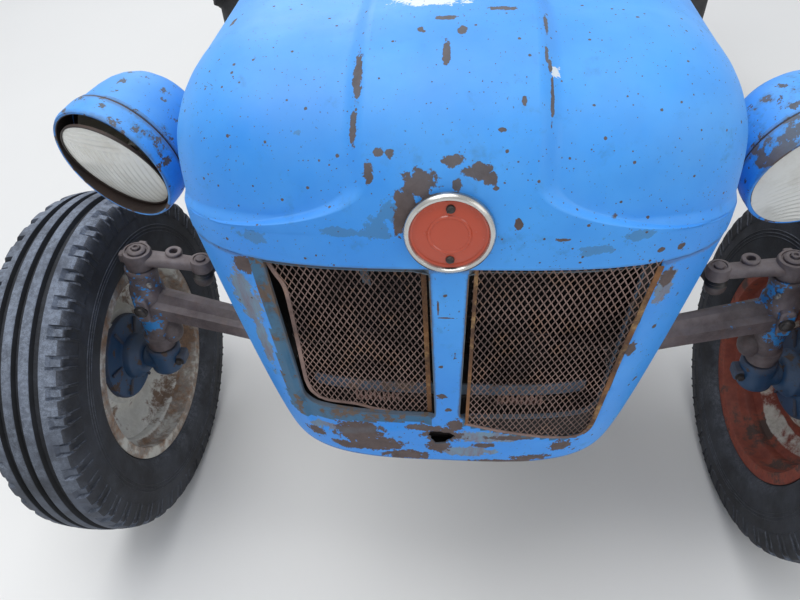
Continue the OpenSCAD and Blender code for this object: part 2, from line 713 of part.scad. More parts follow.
module rear_rim(side) {
  seat = rear_seat_d / 2;
  disc = rear_disc_x - rear_track / 2;
  edge = seat - 22;
  color(cream) at_rear_wheel(side) {
    rim(seat, rear_rim_w / 2, rear_flange, 20, 40, 6);
    rotate_extrude() polygon([[0, disc - 8], [120, disc - 8], [150, disc + 10], [edge - 60, disc + 40], [edge, disc + 30],
      [edge, disc + 38], [edge - 62, disc + 49], [146, disc + 19], [116, disc + 10], [0, disc + 10]]);
    translate([0, 0, disc - 26 - shaft_in + 4]) cylinder(r = axle_shaft_r, h = shaft_in + 40);
    translate([0, 0, disc + 8]) cylinder(r = 52, h = 50);
  }
}
module rear_rim_left() rear_rim(1);
module rear_rim_right() rear_rim(-1);

// Hydraulic lift and linkage
cross_y = 40;
cross_z = 880;
cross_r = 25;
lift_x = 205;
lift_droop = 12;
cover_z = 930;
module hydraulic_cover() {
  ear = [0, rear_y + 205, 760];
  color(grease) difference() {
    union() {
      block([-150, rear_y - 205, 790], [150, rear_y + 170, cover_z]);
      for (s = [-1, 1]) translate([s * 22 - 7, rear_y + 168, 790]) cube([14, 72, 70]);
    }
    drum_x(-200, 200, rear_y + cross_y, cross_z, cross_r + run_gap);
    drum_x(-60, 60, rear_y + 215, 832, top_pin_r);
  }
}
module lift_arms() {
  tip = [0, rear_y + cross_y + lift_arm * cos(lift_droop), cross_z - lift_arm * sin(lift_droop)];
  color(dark_blue) {
    drum_x(-lift_x - 12, lift_x + 12, rear_y + cross_y, cross_z, cross_r);
    both() {
      drum_x(lift_x - 12, lift_x + 12, rear_y + cross_y, cross_z, 42);
      bar([lift_x, rear_y + cross_y, cross_z], tip + [lift_x, 0, 0], 22, 44);
      drum_x(lift_x - 12, lift_x + 12, tip.y, tip.z, 24);
      drum_x(lift_x + 12, lift_x + 36, tip.y, tip.z, 9);
    }
  }
}
link_root = [link_root_span / 2, rear_y + link_root_back, link_root_z];
link_end = [link_span / 2, rear_y + link_root_back + lower_link * cos(link_droop),
  link_root_z - lower_link * sin(link_droop)];
lift_share = 0.48;
lift_on_link = link_root + (link_end - link_root) * lift_share;
lift_tip = [lift_x + 25, rear_y + cross_y + lift_arm * cos(lift_droop), cross_z - lift_arm * sin(lift_droop)];
rod_foot = [lift_on_link.x - 32, lift_on_link.y, lift_on_link.z];
foot_half = 12;
module lower_link(side) {
  color(dark_blue) on_side(side) difference() {
    union() {
      bar(link_root, link_end, 16, 50);
      drum_x(rod_foot.x + foot_half + face_gap, lift_on_link.x, lift_on_link.y, lift_on_link.z, 9);
      for (p = [link_root, link_end]) drum_x(p.x - 14, p.x + 14, p.y, p.z, link_eye_r);
    }
    drum_x(link_root.x - 20, link_root.x + 20, link_root.y, link_root.z, 12 + run_gap);
    drum_x(link_end.x - 20, link_end.x + 20, link_end.y, link_end.z, hitch_r);
  }
}
module lower_link_left() lower_link(1);
module lower_link_right() lower_link(-1);
module lift_rod(side) {
  color(grease) on_side(side) difference() {
    union() {
      rod(lift_tip, rod_foot, 10);
      drum_x(lift_tip.x - 11, lift_tip.x + 11, lift_tip.y, lift_tip.z, 22);
      drum_x(rod_foot.x - foot_half, rod_foot.x + foot_half, rod_foot.y, rod_foot.z, 22);
    }
    drum_x(lift_tip.x - 20, lift_tip.x + 20, lift_tip.y, lift_tip.z, 9 + run_gap);
  }
}
module lift_rod_left() lift_rod(1);
module lift_rod_right() lift_rod(-1);
module drawbar() {
  color(grease) difference() {
    union() {
      block([-40, rear_y - 60, 330], [40, rear_y + 430, 355]);
      translate([0, rear_y + 430, 330]) cylinder(r = 40, h = 25);
      both() block([40, rear_y - 60, 330], [60, rear_y + 60, 400]);
    }
    translate([0, rear_y + 430, 320]) cylinder(r = drawbar_pin_r, h = 50);
  }
}

// Steering gear
box_y = bonnet_back + 45;
box_z = seam_z;
drop_x = 185;
drop_pivot = [drop_x, front_y + box_y, 868];
drop_ball = drop_pivot - [0, 0, drop_arm];
module steering_box() {
  foot = [0, front_y + box_y + 30, box_z - 10];
  far = foot + [0, sin(column_tilt), cos(column_tilt)] * (column_len - 42);
  color(dark_blue) difference() {
    union() {
      block([-110, front_y + engine_back + 25, 800], [110, front_y + box_y + 90, box_z]);
      rod(foot, far, 24);
      both() drum_x(110, drop_x - 12 - face_gap, drop_pivot.y, drop_pivot.z, 34);
      both() drum_x(110, drop_x + 14, drop_pivot.y, drop_pivot.z, 16);
    }
    along(foot, far) translate([column_len - 142, 0, 0]) rotate([0, 90, 0]) cylinder(r = 10 + run_gap, h = 150);
  }
}
module steering_wheel() {
  foot = [0, front_y + box_y + 30, box_z - 10];
  far = foot + [0, sin(column_tilt), cos(column_tilt)] * column_len;
  color([0.1, 0.1, 0.1]) along(foot, far) rotate([0, 90, 0]) {
    translate([0, 0, column_len - 120]) cylinder(r = 10, h = 130);
    translate([0, 0, column_len - 36]) cylinder(r = 32, h = 40);
    translate([0, 0, column_len]) rotate_extrude() translate([wheel_d / 2 - 12, 0]) circle(r = 12);
    for (k = [0:2]) rotate([0, 0, k * 120]) rod([20, 0, column_len - 14], [wheel_d / 2 - 12, 0, column_len], 6);
  }
}
module dash_cowl() {
  low = front_y + cowl_front;
  arch = [for (a = [-90:6:90]) [bonnet_half * spow(sin(a), 2 / top_round),
    (bonnet_z + bonnet_rise - box_z) * spow(cos(a), 2 / top_round)]];
  foot = [0, front_y + box_y + 30, box_z - 10];
  color(blue) difference() {
    translate([0, low + 150, box_z]) rotate([90, 0, 0]) linear_extrude(height = 150) polygon(arch);
    along(foot, foot + [0, sin(column_tilt), cos(column_tilt)]) rotate([0, 90, 0]) cylinder(r = 24 + face_gap, h = 600);
  }
}
module drop_arm_piece(side) {
  color(grease) on_side(side) difference() {
    union() {
      bar(drop_pivot, drop_ball, 34, 22);
      drum_x(drop_x - 12, drop_x + 12, drop_pivot.y, drop_pivot.z, 30);
      drum_x(drop_x - 12, drop_x + 12, drop_ball.y, drop_ball.z, 17);
    }
    drum_x(drop_x - 20, drop_x + 20, drop_pivot.y, drop_pivot.z, 16 + run_gap);
  }
}
module drop_arm_left() drop_arm_piece(1);
module drop_arm_right() drop_arm_piece(-1);
// The link's front eye is carried under the steering arm's ball
drag_front = arm_ball - ball_drop * [-sin(kingpin_lean), 0, cos(kingpin_lean)];
drag_back = [drop_x + 12 + face_gap + 16, drop_ball.y, drop_ball.z];
module drag_link(side) {
  color(grease) difference() {
    on_side(side) {
      rod(drag_front, drag_back, 11);
      translate(drag_front) sphere(r = 19);
      drum_x(drag_back.x - 16, drag_back.x + 12, drag_back.y, drag_back.z, 17);
    }
    at_kingpin(side) translate([-steer_arm, 0, kingpin_len - ball_drop - face_gap])
      cylinder(r = ball_stud_r + run_gap, h = ball_drop);
  }
}
module drag_link_left() drag_link(1);
module drag_link_right() drag_link(-1);

// Driver's place
module mudguards() {
  inner = rear_tyre_d / 2 + guard_gap;
  color(blue) both() translate([guard_x, rear_y, rear_hub_z]) rotate([90, 0, 90]) {
    difference() {
      linear_extrude(height = sheet) difference() {
        circle(r = inner + sheet, $fn = 128);
        translate([-inner * 1.2, -inner * 2]) square([inner * 2.4, inner * 2 - 130]);
        rotate(12) translate([-inner * 2.6, -inner]) square([inner * 1.7, inner * 2]);
      }
      translate([0, 0, -1]) cylinder(r = axle_tube_r + face_gap, h = sheet + 2);
    }
    rotate([0, 0, 0]) rotate_extrude(angle = 150, $fn = 128) translate([inner, 0]) square([sheet, guard_w]);
  }
}
module footplates() {
  color(dark_blue) both() {
    block([gearbox_w / 2 + 20, rear_y - 760, foot_z], [guard_x, rear_y - 420, foot_z + 6]);
    for (y = [-730, -470]) block([gearbox_w / 2, rear_y + y, foot_z - 30], [gearbox_w / 2 + 90, rear_y + y + 30, foot_z]);
  }
}
seat_y = -95;
module seat_spring() {
  color(grease) {
    block([-32, rear_y - 190, cover_z], [32, rear_y - 110, cover_z + 14]);
    bar([0, rear_y - 150, cover_z + 10], [0, rear_y + seat_y + 90, seat_z - 12], 50, 10);
    block([-45, rear_y + seat_y, seat_z - 14], [45, rear_y + seat_y + 110, seat_z - face_gap]);
  }
}
function seat_at(u, v, t) =
  let (x = u * seat_w / 2, back = ease((v - 0.45) / 0.55))
  [x * (1 - 0.1 * v), rear_y + seat_y - 120 + v * seat_d,
   seat_z + t + 95 * pow(abs(u), 3.2) * (0.35 + 0.65 * v) + 130 * back * back + 12 * pow(max(0, 1 - v / 0.45), 2)];
module seat() {
  low = [for (j = [0:10]) [for (i = [0:12]) seat_at(i / 6 - 1, j / 10, 0)]];
  high = [for (j = [0:10]) [for (i = [0:12]) seat_at(i / 6 - 1, j / 10, 2 * sheet)]];
  color(dark_blue) sheet_between(high, low);
}
module pedals() {
  color(grease) both() {
    bar([gearbox_w / 2 + 12, front_y + clutch_back + 60, 560], [gearbox_w / 2 + 100, front_y + clutch_back + 30, 640], 14, 24);
    block([gearbox_w / 2 + 70, front_y + clutch_back, 630], [gearbox_w / 2 + 150, front_y + clutch_back + 60, 640]);
    drum_x(gearbox_w / 2, gearbox_w / 2 + 30, front_y + clutch_back + 60, 560, 20);
  }
}
module gear_levers() {
  base = front_y + clutch_back + 260;
  color(grease) {
    translate([0, base, 822]) cylinder(r = 34, h = 30);
    rod([0, base, 840], [0, base - 60, 1090], 8);
    translate([0, base - 60, 1090]) sphere(r = 20);
    translate([50, base + 100, 822]) cylinder(r = 15, h = 12);
    rod([50, base + 100, 830], [70, base + 60, 980], 7);
    translate([70, base + 60, 980]) sphere(r = 15);
  }
}

// Lamps, mesh and badge on the nose
lamp_at = [lamp_span / 2, front_y - lamp_reach, seam_z + lamp_up];
// Children's +Z axis is laid out of the left lamp's glass, from the glass plane's middle
module at_lamp() {
  translate(lamp_at) rotate([0, 0, lamp_turn]) rotate([90 + lamp_dip, 0, 0]) children();
}
lamp_lip = 7;
module headlamps() {
  root = [bonnet_half + 8, lamp_at.y + lamp_depth + 10, seam_z + 20];
  color(blue) both() {
    at_lamp() rotate_extrude() polygon([[0, -lamp_depth - 36], [40, -lamp_depth - 30], [72, -lamp_depth - 8],
      [lamp_r - 6, 30 - lamp_depth], [lamp_r - 4, -34], [lamp_r, -32], [lamp_r, 12], [lamp_r - lamp_lip, 12],
      [lamp_r - lamp_lip, -14], [0, -14]]);
    rod(lamp_at + [-45, lamp_depth - 10, 15], root, 12);
    block([bonnet_half + face_gap, root.y - 25, root.z - 14], [bonnet_half + 9, root.y + 25, root.z + 14]);
  }
}
module lamp_glasses() {
  seat = lamp_r - lamp_lip - face_gap;
  color(cream) both() at_lamp() translate([0, 0, -14 + face_gap])
    rotate_extrude() polygon([[0, 0], [seat, 0], [seat, 4], [lamp_r * 0.5, 12], [0, 14]]);
}
module badge() {
  high = bonnet_z - seam_z;
  left = 1 - pow(badge_up / high, brow_round);
  seat = nose_depth * pow(left, 1 / brow_round);
  lean = atan(nose_depth / high * pow(badge_up / high, brow_round - 1) * pow(left, 1 / brow_round - 1));
  color([0.7, 0.16, 0.07]) translate([0, front_y - fan_back - seat - face_gap, seam_z + badge_up])
    rotate([90 - lean, 0, 0]) cylinder(r = badge_r, h = 9);
}
// One panel of diamond mesh, as wide at its foot and head as low_w and high_w
module diamond_panel(low, high, low_w, high_w) {
  tall = mesh_pitch * 1.45;
  hole = [for (k = [0:3]) [cos(k * 90) * (mesh_pitch / 2 - mesh_strand), sin(k * 90) * (tall / 2 - mesh_strand * 1.4)]];
  fits = function (p) let (edge = lerp(low_w, high_w, (p.y - low) / (high - low)))
    p.x > mesh_pitch / 2 + 3 && p.x < edge - mesh_pitch / 2 - 3 && p.y > low + tall / 2 + 3 && p.y < high - tall / 2 - 3;
  places = [for (i = [0:40]) for (j = [0:40])
    let (p = [(i + (j % 2) / 2) * mesh_pitch, low + j * tall / 2]) if (fits(p)) p];
  linear_extrude(height = 2) polygon(
    points = concat([[0, low], [low_w, low], [high_w, high], [0, high]], [for (p = places) each [for (h = hole) p + h]]),
    paths = concat([[0, 1, 2, 3]], [for (k = [0:len(places) - 1]) [for (c = [0:3]) 4 + 4 * k + c]]));
}
mesh_back = 12;                        // the panels lie this far behind the shell
mesh_over = 12;                        // and reach this far past the openings
stud_r = 4;
module mesh_stud(x, z, back) {
  drum_y(front_y - fan_back - face_at(x + stud_r, z - stud_r, sheet) + face_gap, back, x, z, stud_r);
}
module grille_mesh() {
  low = grille_z - 8;
  high = seam_z - 12;
  in = [8, face_at(8, high, sheet)];
  out = [grille_half, face_at(grille_half, high, sheet)];
  back = front_y - fan_back - in.y + mesh_back;
  color(rust) both() {
    translate([in.x, back, 0]) rotate([90, 0, atan2(in.y - out.y, out.x - in.x)])
      diamond_panel(low, high, grille_low_half - in.x + mesh_over, grille_half - in.x + mesh_over);
    for (z = [grille_z + 25, lerp(grille_z, seam_z, 0.5), seam_z - 45]) mesh_stud(12, z, back - 1);
    for (z = [grille_z + 70, seam_z - 50]) mesh_stud(grille_edge(z) + 5, z, back + in.y - out.y - 1);
  }
}

front_bolster();
axle_beam();
radius_rods();
radiator();
fan();
engine_block();
cylinder_head();
fuel_tank();
exhaust();
air_cleaner();
injection_pump();
dynamo();
clutch_housing();
gearbox();
rear_axle();
hydraulic_cover();
drawbar();
steering_box();
dash_cowl();
mudguards();
footplates();
seat_spring();
seat();
pedals();
gear_levers();
bonnet();
grille_shell();
hinge_bar();
grille_mesh();
badge();
headlamps();
lamp_glasses();
knuckle_left();
knuckle_right();
front_tyre_left();
front_tyre_right();
front_rim_left();
front_rim_right();
front_hub_left();
front_hub_right();
rear_tyre_left();
rear_tyre_right();
rear_rim_left();
rear_rim_right();
steering_wheel();
drop_arm_left();
drop_arm_right();
drag_link_left();
drag_link_right();
lift_arms();
lift_rod_left();
lift_rod_right();
lower_link_left();
lower_link_right();
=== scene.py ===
from math import asin, copysign, cos, hypot, pi, radians, sin, sqrt

import bpy
import numpy as np
from mathutils import Matrix, Vector


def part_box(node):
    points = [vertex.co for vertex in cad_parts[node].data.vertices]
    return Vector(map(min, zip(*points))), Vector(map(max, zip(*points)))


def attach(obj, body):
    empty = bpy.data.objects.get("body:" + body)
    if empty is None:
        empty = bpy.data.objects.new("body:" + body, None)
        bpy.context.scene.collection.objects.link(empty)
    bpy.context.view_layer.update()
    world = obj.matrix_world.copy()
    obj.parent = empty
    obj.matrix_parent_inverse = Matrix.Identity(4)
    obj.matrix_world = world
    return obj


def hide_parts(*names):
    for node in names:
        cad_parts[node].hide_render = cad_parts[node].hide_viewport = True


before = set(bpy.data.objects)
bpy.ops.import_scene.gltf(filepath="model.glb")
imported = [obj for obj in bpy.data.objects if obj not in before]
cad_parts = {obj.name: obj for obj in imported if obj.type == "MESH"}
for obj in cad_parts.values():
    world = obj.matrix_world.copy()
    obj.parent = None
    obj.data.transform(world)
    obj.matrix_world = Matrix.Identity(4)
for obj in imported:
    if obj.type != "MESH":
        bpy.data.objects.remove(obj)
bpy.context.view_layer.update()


# places taken from the frame, in metres
def middleOf(node):
    low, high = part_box(node)
    return (low + high) / 2


frontY = middleOf("front_tyre_left").y  # front axle
rearY = middleOf("rear_tyre_left").y  # rear axle
rearHubZ = middleOf("rear_tyre_left").z
rearAxle = (1855, 615)  # millimetres behind the front axle and above the ground
toTop, toBack, toFront, toLeft, toRight = (0, 0, 1), (0, 1, 0), (0, -1, 0), (1, 0, 0), (-1, 0, 0)
bothWays = (-1, 1)


def around(count, start=0.0):
    # even angles, once round
    return np.linspace(start, start + 2 * pi, count + 1)[:-1]


def polar(radius, angle, height):
    return (radius * cos(angle), radius * sin(angle), height)


def loopFaces(loops, size, closed=False, first=0):
    # faces between neighbouring loops of points; the last loop meets the first where closed
    faces = []
    for i in range(loops if closed else loops - 1):
        a, b = first + i * size, first + (i + 1) % loops * size
        faces += [(a + k, b + k, b + (k + 1) % size, a + (k + 1) % size) for k in range(size)]
    return faces


# small shape tools: a shape is (points, faces)
def place(shape, move=(0, 0, 0), turn=None):
    points, faces = shape
    points = np.asarray(points, float)
    if turn is not None:
        points = points @ np.array(turn.to_3x3()).T
    return points + np.array(move, float), faces


def turned(axis, angle):
    return Matrix.Rotation(radians(angle), 4, axis)


def aimed(direction):
    return Vector(direction).to_track_quat("Z", "Y").to_matrix().to_4x4()


def mirrored(shape):
    points, faces = shape
    return np.asarray(points, float) * [-1, 1, 1], [tuple(reversed(f)) for f in faces]


def bothSides(shapes):
    return shapes + [mirrored(s) for s in shapes]


def merged(shapes):
    points, faces, count = [], [], 0
    for p, f in shapes:
        points.append(np.asarray(p, float))
        faces += [tuple(i + count for i in face) for face in f]
        count += len(p)
    return np.concatenate(points), faces


def lathe(profile, steps=48, start=0, arc=360):
    # profile is a list of (radius, height) turned round Z
    full = arc >= 360
    count = steps if full else steps + 1
    angles = [radians(start + arc * k / steps) for k in range(count)]
    points = [polar(r, a, h) for a in angles for r, h in profile]
    n = len(profile)
    faces = []
    for k in range(steps):
        a, b = k * n, ((k + 1) % count) * n
        for i in range(n - 1):
            face = [a + i, b + i, b + i + 1, a + i + 1]
            if profile[i][0] < 1e-6:
                face = [a + i, b + i + 1, a + i + 1]
            elif profile[i + 1][0] < 1e-6:
                face = [a + i, b + i, a + i + 1]
            faces.append(tuple(face))
    return np.array(points), faces


def ring(profile, steps=48):
    # a closed profile turned round Z
    return lathe(profile + [profile[0]], steps)


def smoothPath(points, steps=6, closed=False):
    p = [np.array(q, float) for q in points]
    out = []
    count = len(p) if closed else len(p) - 1
    for i in range(count):
        a, b, c, d = (p[(i + k) % len(p)] if closed else p[min(max(i + k, 0), len(p) - 1)]
            for k in (-1, 0, 1, 2))
        for s in range(steps):
            t = s / steps
            out.append(0.5 * (2 * b + (c - a) * t + (2 * a - 5 * b + 4 * c - d) * t * t
                + (3 * b - a - 3 * c + d) * t**3))
    if not closed:
        out.append(p[-1])
    return out


def sweep(path, section, closed=False, up=toTop, caps=True):
    # section is a list of (sideways, upwards) or a function of the path's share
    path = [np.array(p, float) for p in path]
    count = len(path)
    points, faces = [], []
    reference = np.array(up, float)
    for i, p in enumerate(path):
        if closed:
            along = path[(i + 1) % count] - path[i - 1]
        else:
            along = path[min(i + 1, count - 1)] - path[max(i - 1, 0)]
        along /= max(np.linalg.norm(along), 1e-12)
        side = np.cross(along, reference)
        if np.linalg.norm(side) < 0.05:
            side = np.cross(along, np.array([0.3, 1, 0.1]))
        side /= np.linalg.norm(side)
        over = np.cross(side, along)
        shape = section(i / max(count - 1, 1)) if callable(section) else section
        points += [p + side * s + over * u for s, u in shape]
    n = len(shape)
    for i in range(count if closed else count - 1):
        a, b = i * n, ((i + 1) % count) * n
        faces += [(a + k, a + (k + 1) % n, b + (k + 1) % n, b + k) for k in range(n)]
    if caps and not closed:
        faces.append(tuple(range(n - 1, -1, -1)))
        faces.append(tuple((count - 1) * n + k for k in range(n)))
    return np.array(points), faces


def circle(radius, sides=12, high=None):
    high = radius if high is None else high
    return [(radius * cos(-2 * pi * k / sides), high * sin(-2 * pi * k / sides)) for k in range(sides)]


def tube(path, radius, sides=12, closed=False, bend=0):
    if bend:
        path = smoothPath(path, bend, closed)
    return sweep(path, circle(radius, sides), closed)


def rod(start, end, radius, sides=16, endRadius=None):
    start, end = Vector(start), Vector(end)
    far = radius if endRadius is None else endRadius
    length = (end - start).length
    edge = min(radius, far, length) * 0.12
    profile = [(0, 0), (radius - edge, 0), (radius, edge), (far, length - edge), (far - edge, length),
        (0, length)]
    return place(lathe(profile, sides), start, aimed(end - start))


def block(low, high):
    (x0, y0, z0), (x1, y1, z1) = low, high
    points = [(x, y, z) for x in (x0, x1) for y in (y0, y1) for z in (z0, z1)]
    faces = [(0, 1, 3, 2), (4, 6, 7, 5), (0, 4, 5, 1), (2, 3, 7, 6), (0, 2, 6, 4), (1, 5, 7, 3)]
    return np.array(points, float), faces


def bar(start, end, wide, high):
    half, tall = wide / 2, high / 2
    section = [(half, -tall), (half, tall), (-half, tall), (-half, -tall)]
    return sweep([start, end], section[::-1])


def bolt(at, axis, across=0.013, head=None):
    # a washer, a hexagon head with a rounded top
    head = across * 0.6 if head is None else head
    washer = lathe([(0, 0), (across * 0.75, 0), (across * 0.75, across * 0.11), (0, across * 0.11)], 16)
    hexagon = lathe([(across * 0.58, 0), (across * 0.58, head * 0.8), (across * 0.48, head), (0, head)], 6)
    return place(merged([washer, hexagon]), at, aimed(axis))


def boltsAt(points, axis, across):
    return merged([bolt(p, axis, across) for p in points])


def boltCircle(centre, axis, radius, count, across, start=0):
    # bolts on a circle round an axis through the centre
    frameTurn = aimed(axis)
    spots = []
    for k in range(count):
        a = radians(start + 360 * k / count)
        spots.append(Vector(centre) + frameTurn.to_3x3() @ Vector(polar(radius, a, 0)))
    return boltsAt(spots, axis, across)


def roundedRect(low, high, radius, steps=4):
    # corners given as two (across, up) pairs; runs anticlockwise
    (left, bottom), (right, top) = np.array(low) + radius, np.array(high) - radius
    out = []
    for quarter, (x, y) in enumerate(((right, top), (left, top), (left, bottom), (right, bottom))):
        for k in range(steps + 1):
            a = radians(90 * (quarter + k / steps))
            out.append((x + radius * cos(a), y + radius * sin(a)))
    return out


def slab(outline, low, high, axis="Z", edge=2.0):
    # an anticlockwise outline drawn out along an axis, with small chamfers at both ends
    flat = np.array(outline, float)
    ahead = np.roll(flat, -1, axis=0) - flat
    behind = flat - np.roll(flat, 1, axis=0)
    out = []
    for a, b in zip(ahead, behind):
        n = np.array([a[1], -a[0]]) / max(np.linalg.norm(a),
            1e-9) + np.array([b[1], -b[0]]) / max(np.linalg.norm(b), 1e-9)
        out.append(n / max(np.linalg.norm(n), 1e-9))
    inset = flat - np.array(out) * edge
    points = []
    for ring, h in ((inset, low), (flat, low + edge), (flat, high - edge), (inset, high)):
        for u, v in ring:
            points.append({"Z": (u, v, h), "Y": (u, h, v), "X": (h, u, v)}[axis])
    n = len(flat)
    faces = [(a * n + k, a * n + (k + 1) % n, (a + 1) * n + (k + 1) % n, (a + 1) * n + k) for a in range(3)
        for k in range(n)]
    faces += [tuple(range(n - 1, -1, -1)), tuple(3 * n + k for k in range(n))]
    if axis == "Y":
        faces = [tuple(reversed(f)) for f in faces]
    return np.array(points), faces


def softBlock(low, high, radius=6.0, axis="Z", edge=2.0):
    # a block with rounded long edges, drawn out along one axis
    i, j, k = {"X": (1, 2, 0), "Y": (0, 2, 1), "Z": (0, 1, 2)}[axis]
    outline = roundedRect((low[i], low[j]), (high[i], high[j]), radius)
    return slab(outline, low[k], high[k], axis, edge)


def drumAt(profile, at, axis=toTop, steps=40):
    return place(lathe(profile, steps), at, aimed(axis))


def ball(at, radius, sides=16, stretch=1.0):
    profile = [(radius * sin(pi * k / 10), -radius * stretch * cos(pi * k / 10)) for k in range(11)]
    profile[0] = (0, profile[0][1])
    profile[-1] = (0, profile[-1][1])
    return place(lathe(profile, sides), at)


def sheetOf(outer, inner, openCell=None):
    # a closed sheet between two grids of points with the same rows and columns
    outer, inner = np.asarray(outer, float), np.asarray(inner, float)
    rows, cols = outer.shape[:2]
    count = rows * cols

    def isOpen(i, j):
        return i < 0 or j < 0 or i >= rows - 1 or j >= cols - 1 or (openCell is not None
            and openCell(i, j))

    faces = []
    for i in range(rows - 1):
        for j in range(cols - 1):
            if isOpen(i, j):
                continue
            a, b, c, d = i * cols + j, i * cols + j + 1, (i + 1) * cols + j + 1, (i + 1) * cols + j
            faces.append((a, b, c, d))
            faces.append((count + d, count + c, count + b, count + a))
            if isOpen(i - 1, j):
                faces.append((b, a, count + a, count + b))
            if isOpen(i + 1, j):
                faces.append((d, c, count + c, count + d))
            if isOpen(i, j - 1):
                faces.append((a, d, count + d, count + a))
            if isOpen(i, j + 1):
                faces.append((c, b, count + b, count + c))
    return np.concatenate([outer.reshape(-1, 3), inner.reshape(-1, 3)]), faces


def coated(material, shapes):
    return [(shape, material) for shape in shapes]


def makePiece(name, parts, body, replaces=(), sharp=35):
    # parts is a list of (shape, material or one material a face); one mesh that rides on a body
    points, faces, slots, count, materials = [], [], [], 0, []
    for shape, material in parts:
        p, f = shape
        each = material if isinstance(material, list) else [material] * len(f)
        materials += [m for m in dict.fromkeys(each) if m not in materials]
        points.append(np.asarray(p, float))
        faces += [tuple(i + count for i in face) for face in f]
        slots += [materials.index(m) for m in each]
        count += len(p)
    mesh = bpy.data.meshes.new(name)
    mesh.from_pydata(np.concatenate(points).tolist(), [], faces)
    for material in materials:
        mesh.materials.append(material)
    mesh.polygons.foreach_set("material_index", slots)
    mesh.validate()
    mesh.shade_smooth()
    mesh.set_sharp_from_angle(angle=radians(sharp))
    piece = bpy.data.objects.new(name, mesh)
    bpy.context.scene.collection.objects.link(piece)
    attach(piece, body)
    if replaces:
        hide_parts(*([replaces] if isinstance(replaces, str) else replaces))
    return piece


# materials
class Graph:
    # adds nodes to a tree with short calls; sockets and plain values both go in as inputs
    def __init__(self, tree):
        self.tree = tree

    def put(self, node, socket, value):
        target = node.inputs[socket]
        if isinstance(value, bpy.types.NodeSocket):
            self.tree.links.new(value, target)
        elif value is not None:
            target.default_value = value

    def add(self, kind, settings=None, **inputs):
        node = self.tree.nodes.new("ShaderNode" + kind)
        for key, value in (settings or {}).items():
            setattr(node, key, value)
        for key, value in inputs.items():
            self.put(node, key.replace("_", " "), value)
        return node

    def math(self, operation, a, b=None, c=None, clamp=False):
        node = self.tree.nodes.new("ShaderNodeMath")
        node.operation, node.use_clamp = operation, clamp
        for i, value in enumerate((a, b, c)):
            self.put(node, i, value)
        return node.outputs[0]

    def vector(self, operation, a, b=None):
        node = self.tree.nodes.new("ShaderNodeVectorMath")
        node.operation = operation
        self.put(node, 0, a)
        if b is not None:
            self.put(node, 1, b)
        return node.outputs[1] if operation in ("LENGTH", "DISTANCE", "DOT_PRODUCT") else node.outputs[0]

    def step(self, value, low, high, outLow=0.0, outHigh=1.0):
        node = self.tree.nodes.new("ShaderNodeMapRange")
        node.interpolation_type = "SMOOTHSTEP"
        for i, v in enumerate((value, low, high, outLow, outHigh)):
            self.put(node, i, v)
        return node.outputs[0]

    def noise(self, vector, scale, detail=4.0, roughness=0.55):
        node = self.add("TexNoise", Scale=scale, Detail=detail, Roughness=roughness)
        self.put(node, "Vector", vector)
        return node.outputs["Fac"]

    def mix(self, factor, a, b):
        node = self.tree.nodes.new("ShaderNodeMix")
        node.data_type = "RGBA"
        self.put(node, 0, factor)
        self.put(node, 6, a)
        self.put(node, 7, b)
        return node.outputs[2]

    def blend(self, factor, a, b):
        node = self.tree.nodes.new("ShaderNodeMix")
        node.data_type = "FLOAT"
        self.put(node, 0, factor)
        self.put(node, 2, a)
        self.put(node, 3, b)
        return node.outputs[0]

    def times(self, a, b, clamp=False):
        return self.math("MULTIPLY", a, b, clamp=clamp)

    def plus(self, a, b, clamp=False):
        return self.math("ADD", a, b, clamp=clamp)

    def minus(self, a, b):
        return self.math("SUBTRACT", a, b)

    def most(self, a, b):
        return self.math("MAXIMUM", a, b)

    def group(self, tree, **inputs):
        node = self.tree.nodes.new("ShaderNodeGroup")
        node.node_tree = tree
        for key, value in inputs.items():
            self.put(node, key.replace("_", " "), value)
        return node


def newGroup(name, inputs, outputs=("Mask",)):
    # inputs holds the first values, None for a vector; returns the group, its graph and its two ends
    group = bpy.data.node_groups.new(name, "ShaderNodeTree")
    for label, value in inputs.items():
        kind = "NodeSocketVector" if value is None else "NodeSocketFloat"
        socket = group.interface.new_socket(label, in_out="INPUT", socket_type=kind)
        if value is not None:
            socket.default_value = value
    for label in outputs:
        group.interface.new_socket(label, in_out="OUTPUT", socket_type="NodeSocketFloat")
    ends = group.nodes.new("NodeGroupInput").outputs, group.nodes.new("NodeGroupOutput")
    return group, Graph(group), *ends


def rgb(red, green, blue):
    return (red, green, blue, 1.0)


# flaking: patches where paint has gone, ragged at two sizes
flakes, g, given, result = newGroup("flakes",
    {"Place": None, "Size": 9.0, "Amount": 0.2, "Raggedness": 0.35}, ("Mask", "Rim"))
coarse = g.noise(given["Place"], given["Size"], 3.0)
fine = g.noise(given["Place"], g.times(given["Size"], 9.0), 5.0, 0.65)
ragged = g.plus(coarse, g.times(g.minus(fine, 0.5), given["Raggedness"]))
limit = g.minus(0.78, g.times(given["Amount"], 0.45))
g.put(result, "Mask", g.step(ragged, limit, g.plus(limit, 0.025)))
g.put(result, "Rim", g.step(ragged, g.minus(limit, 0.05), limit))

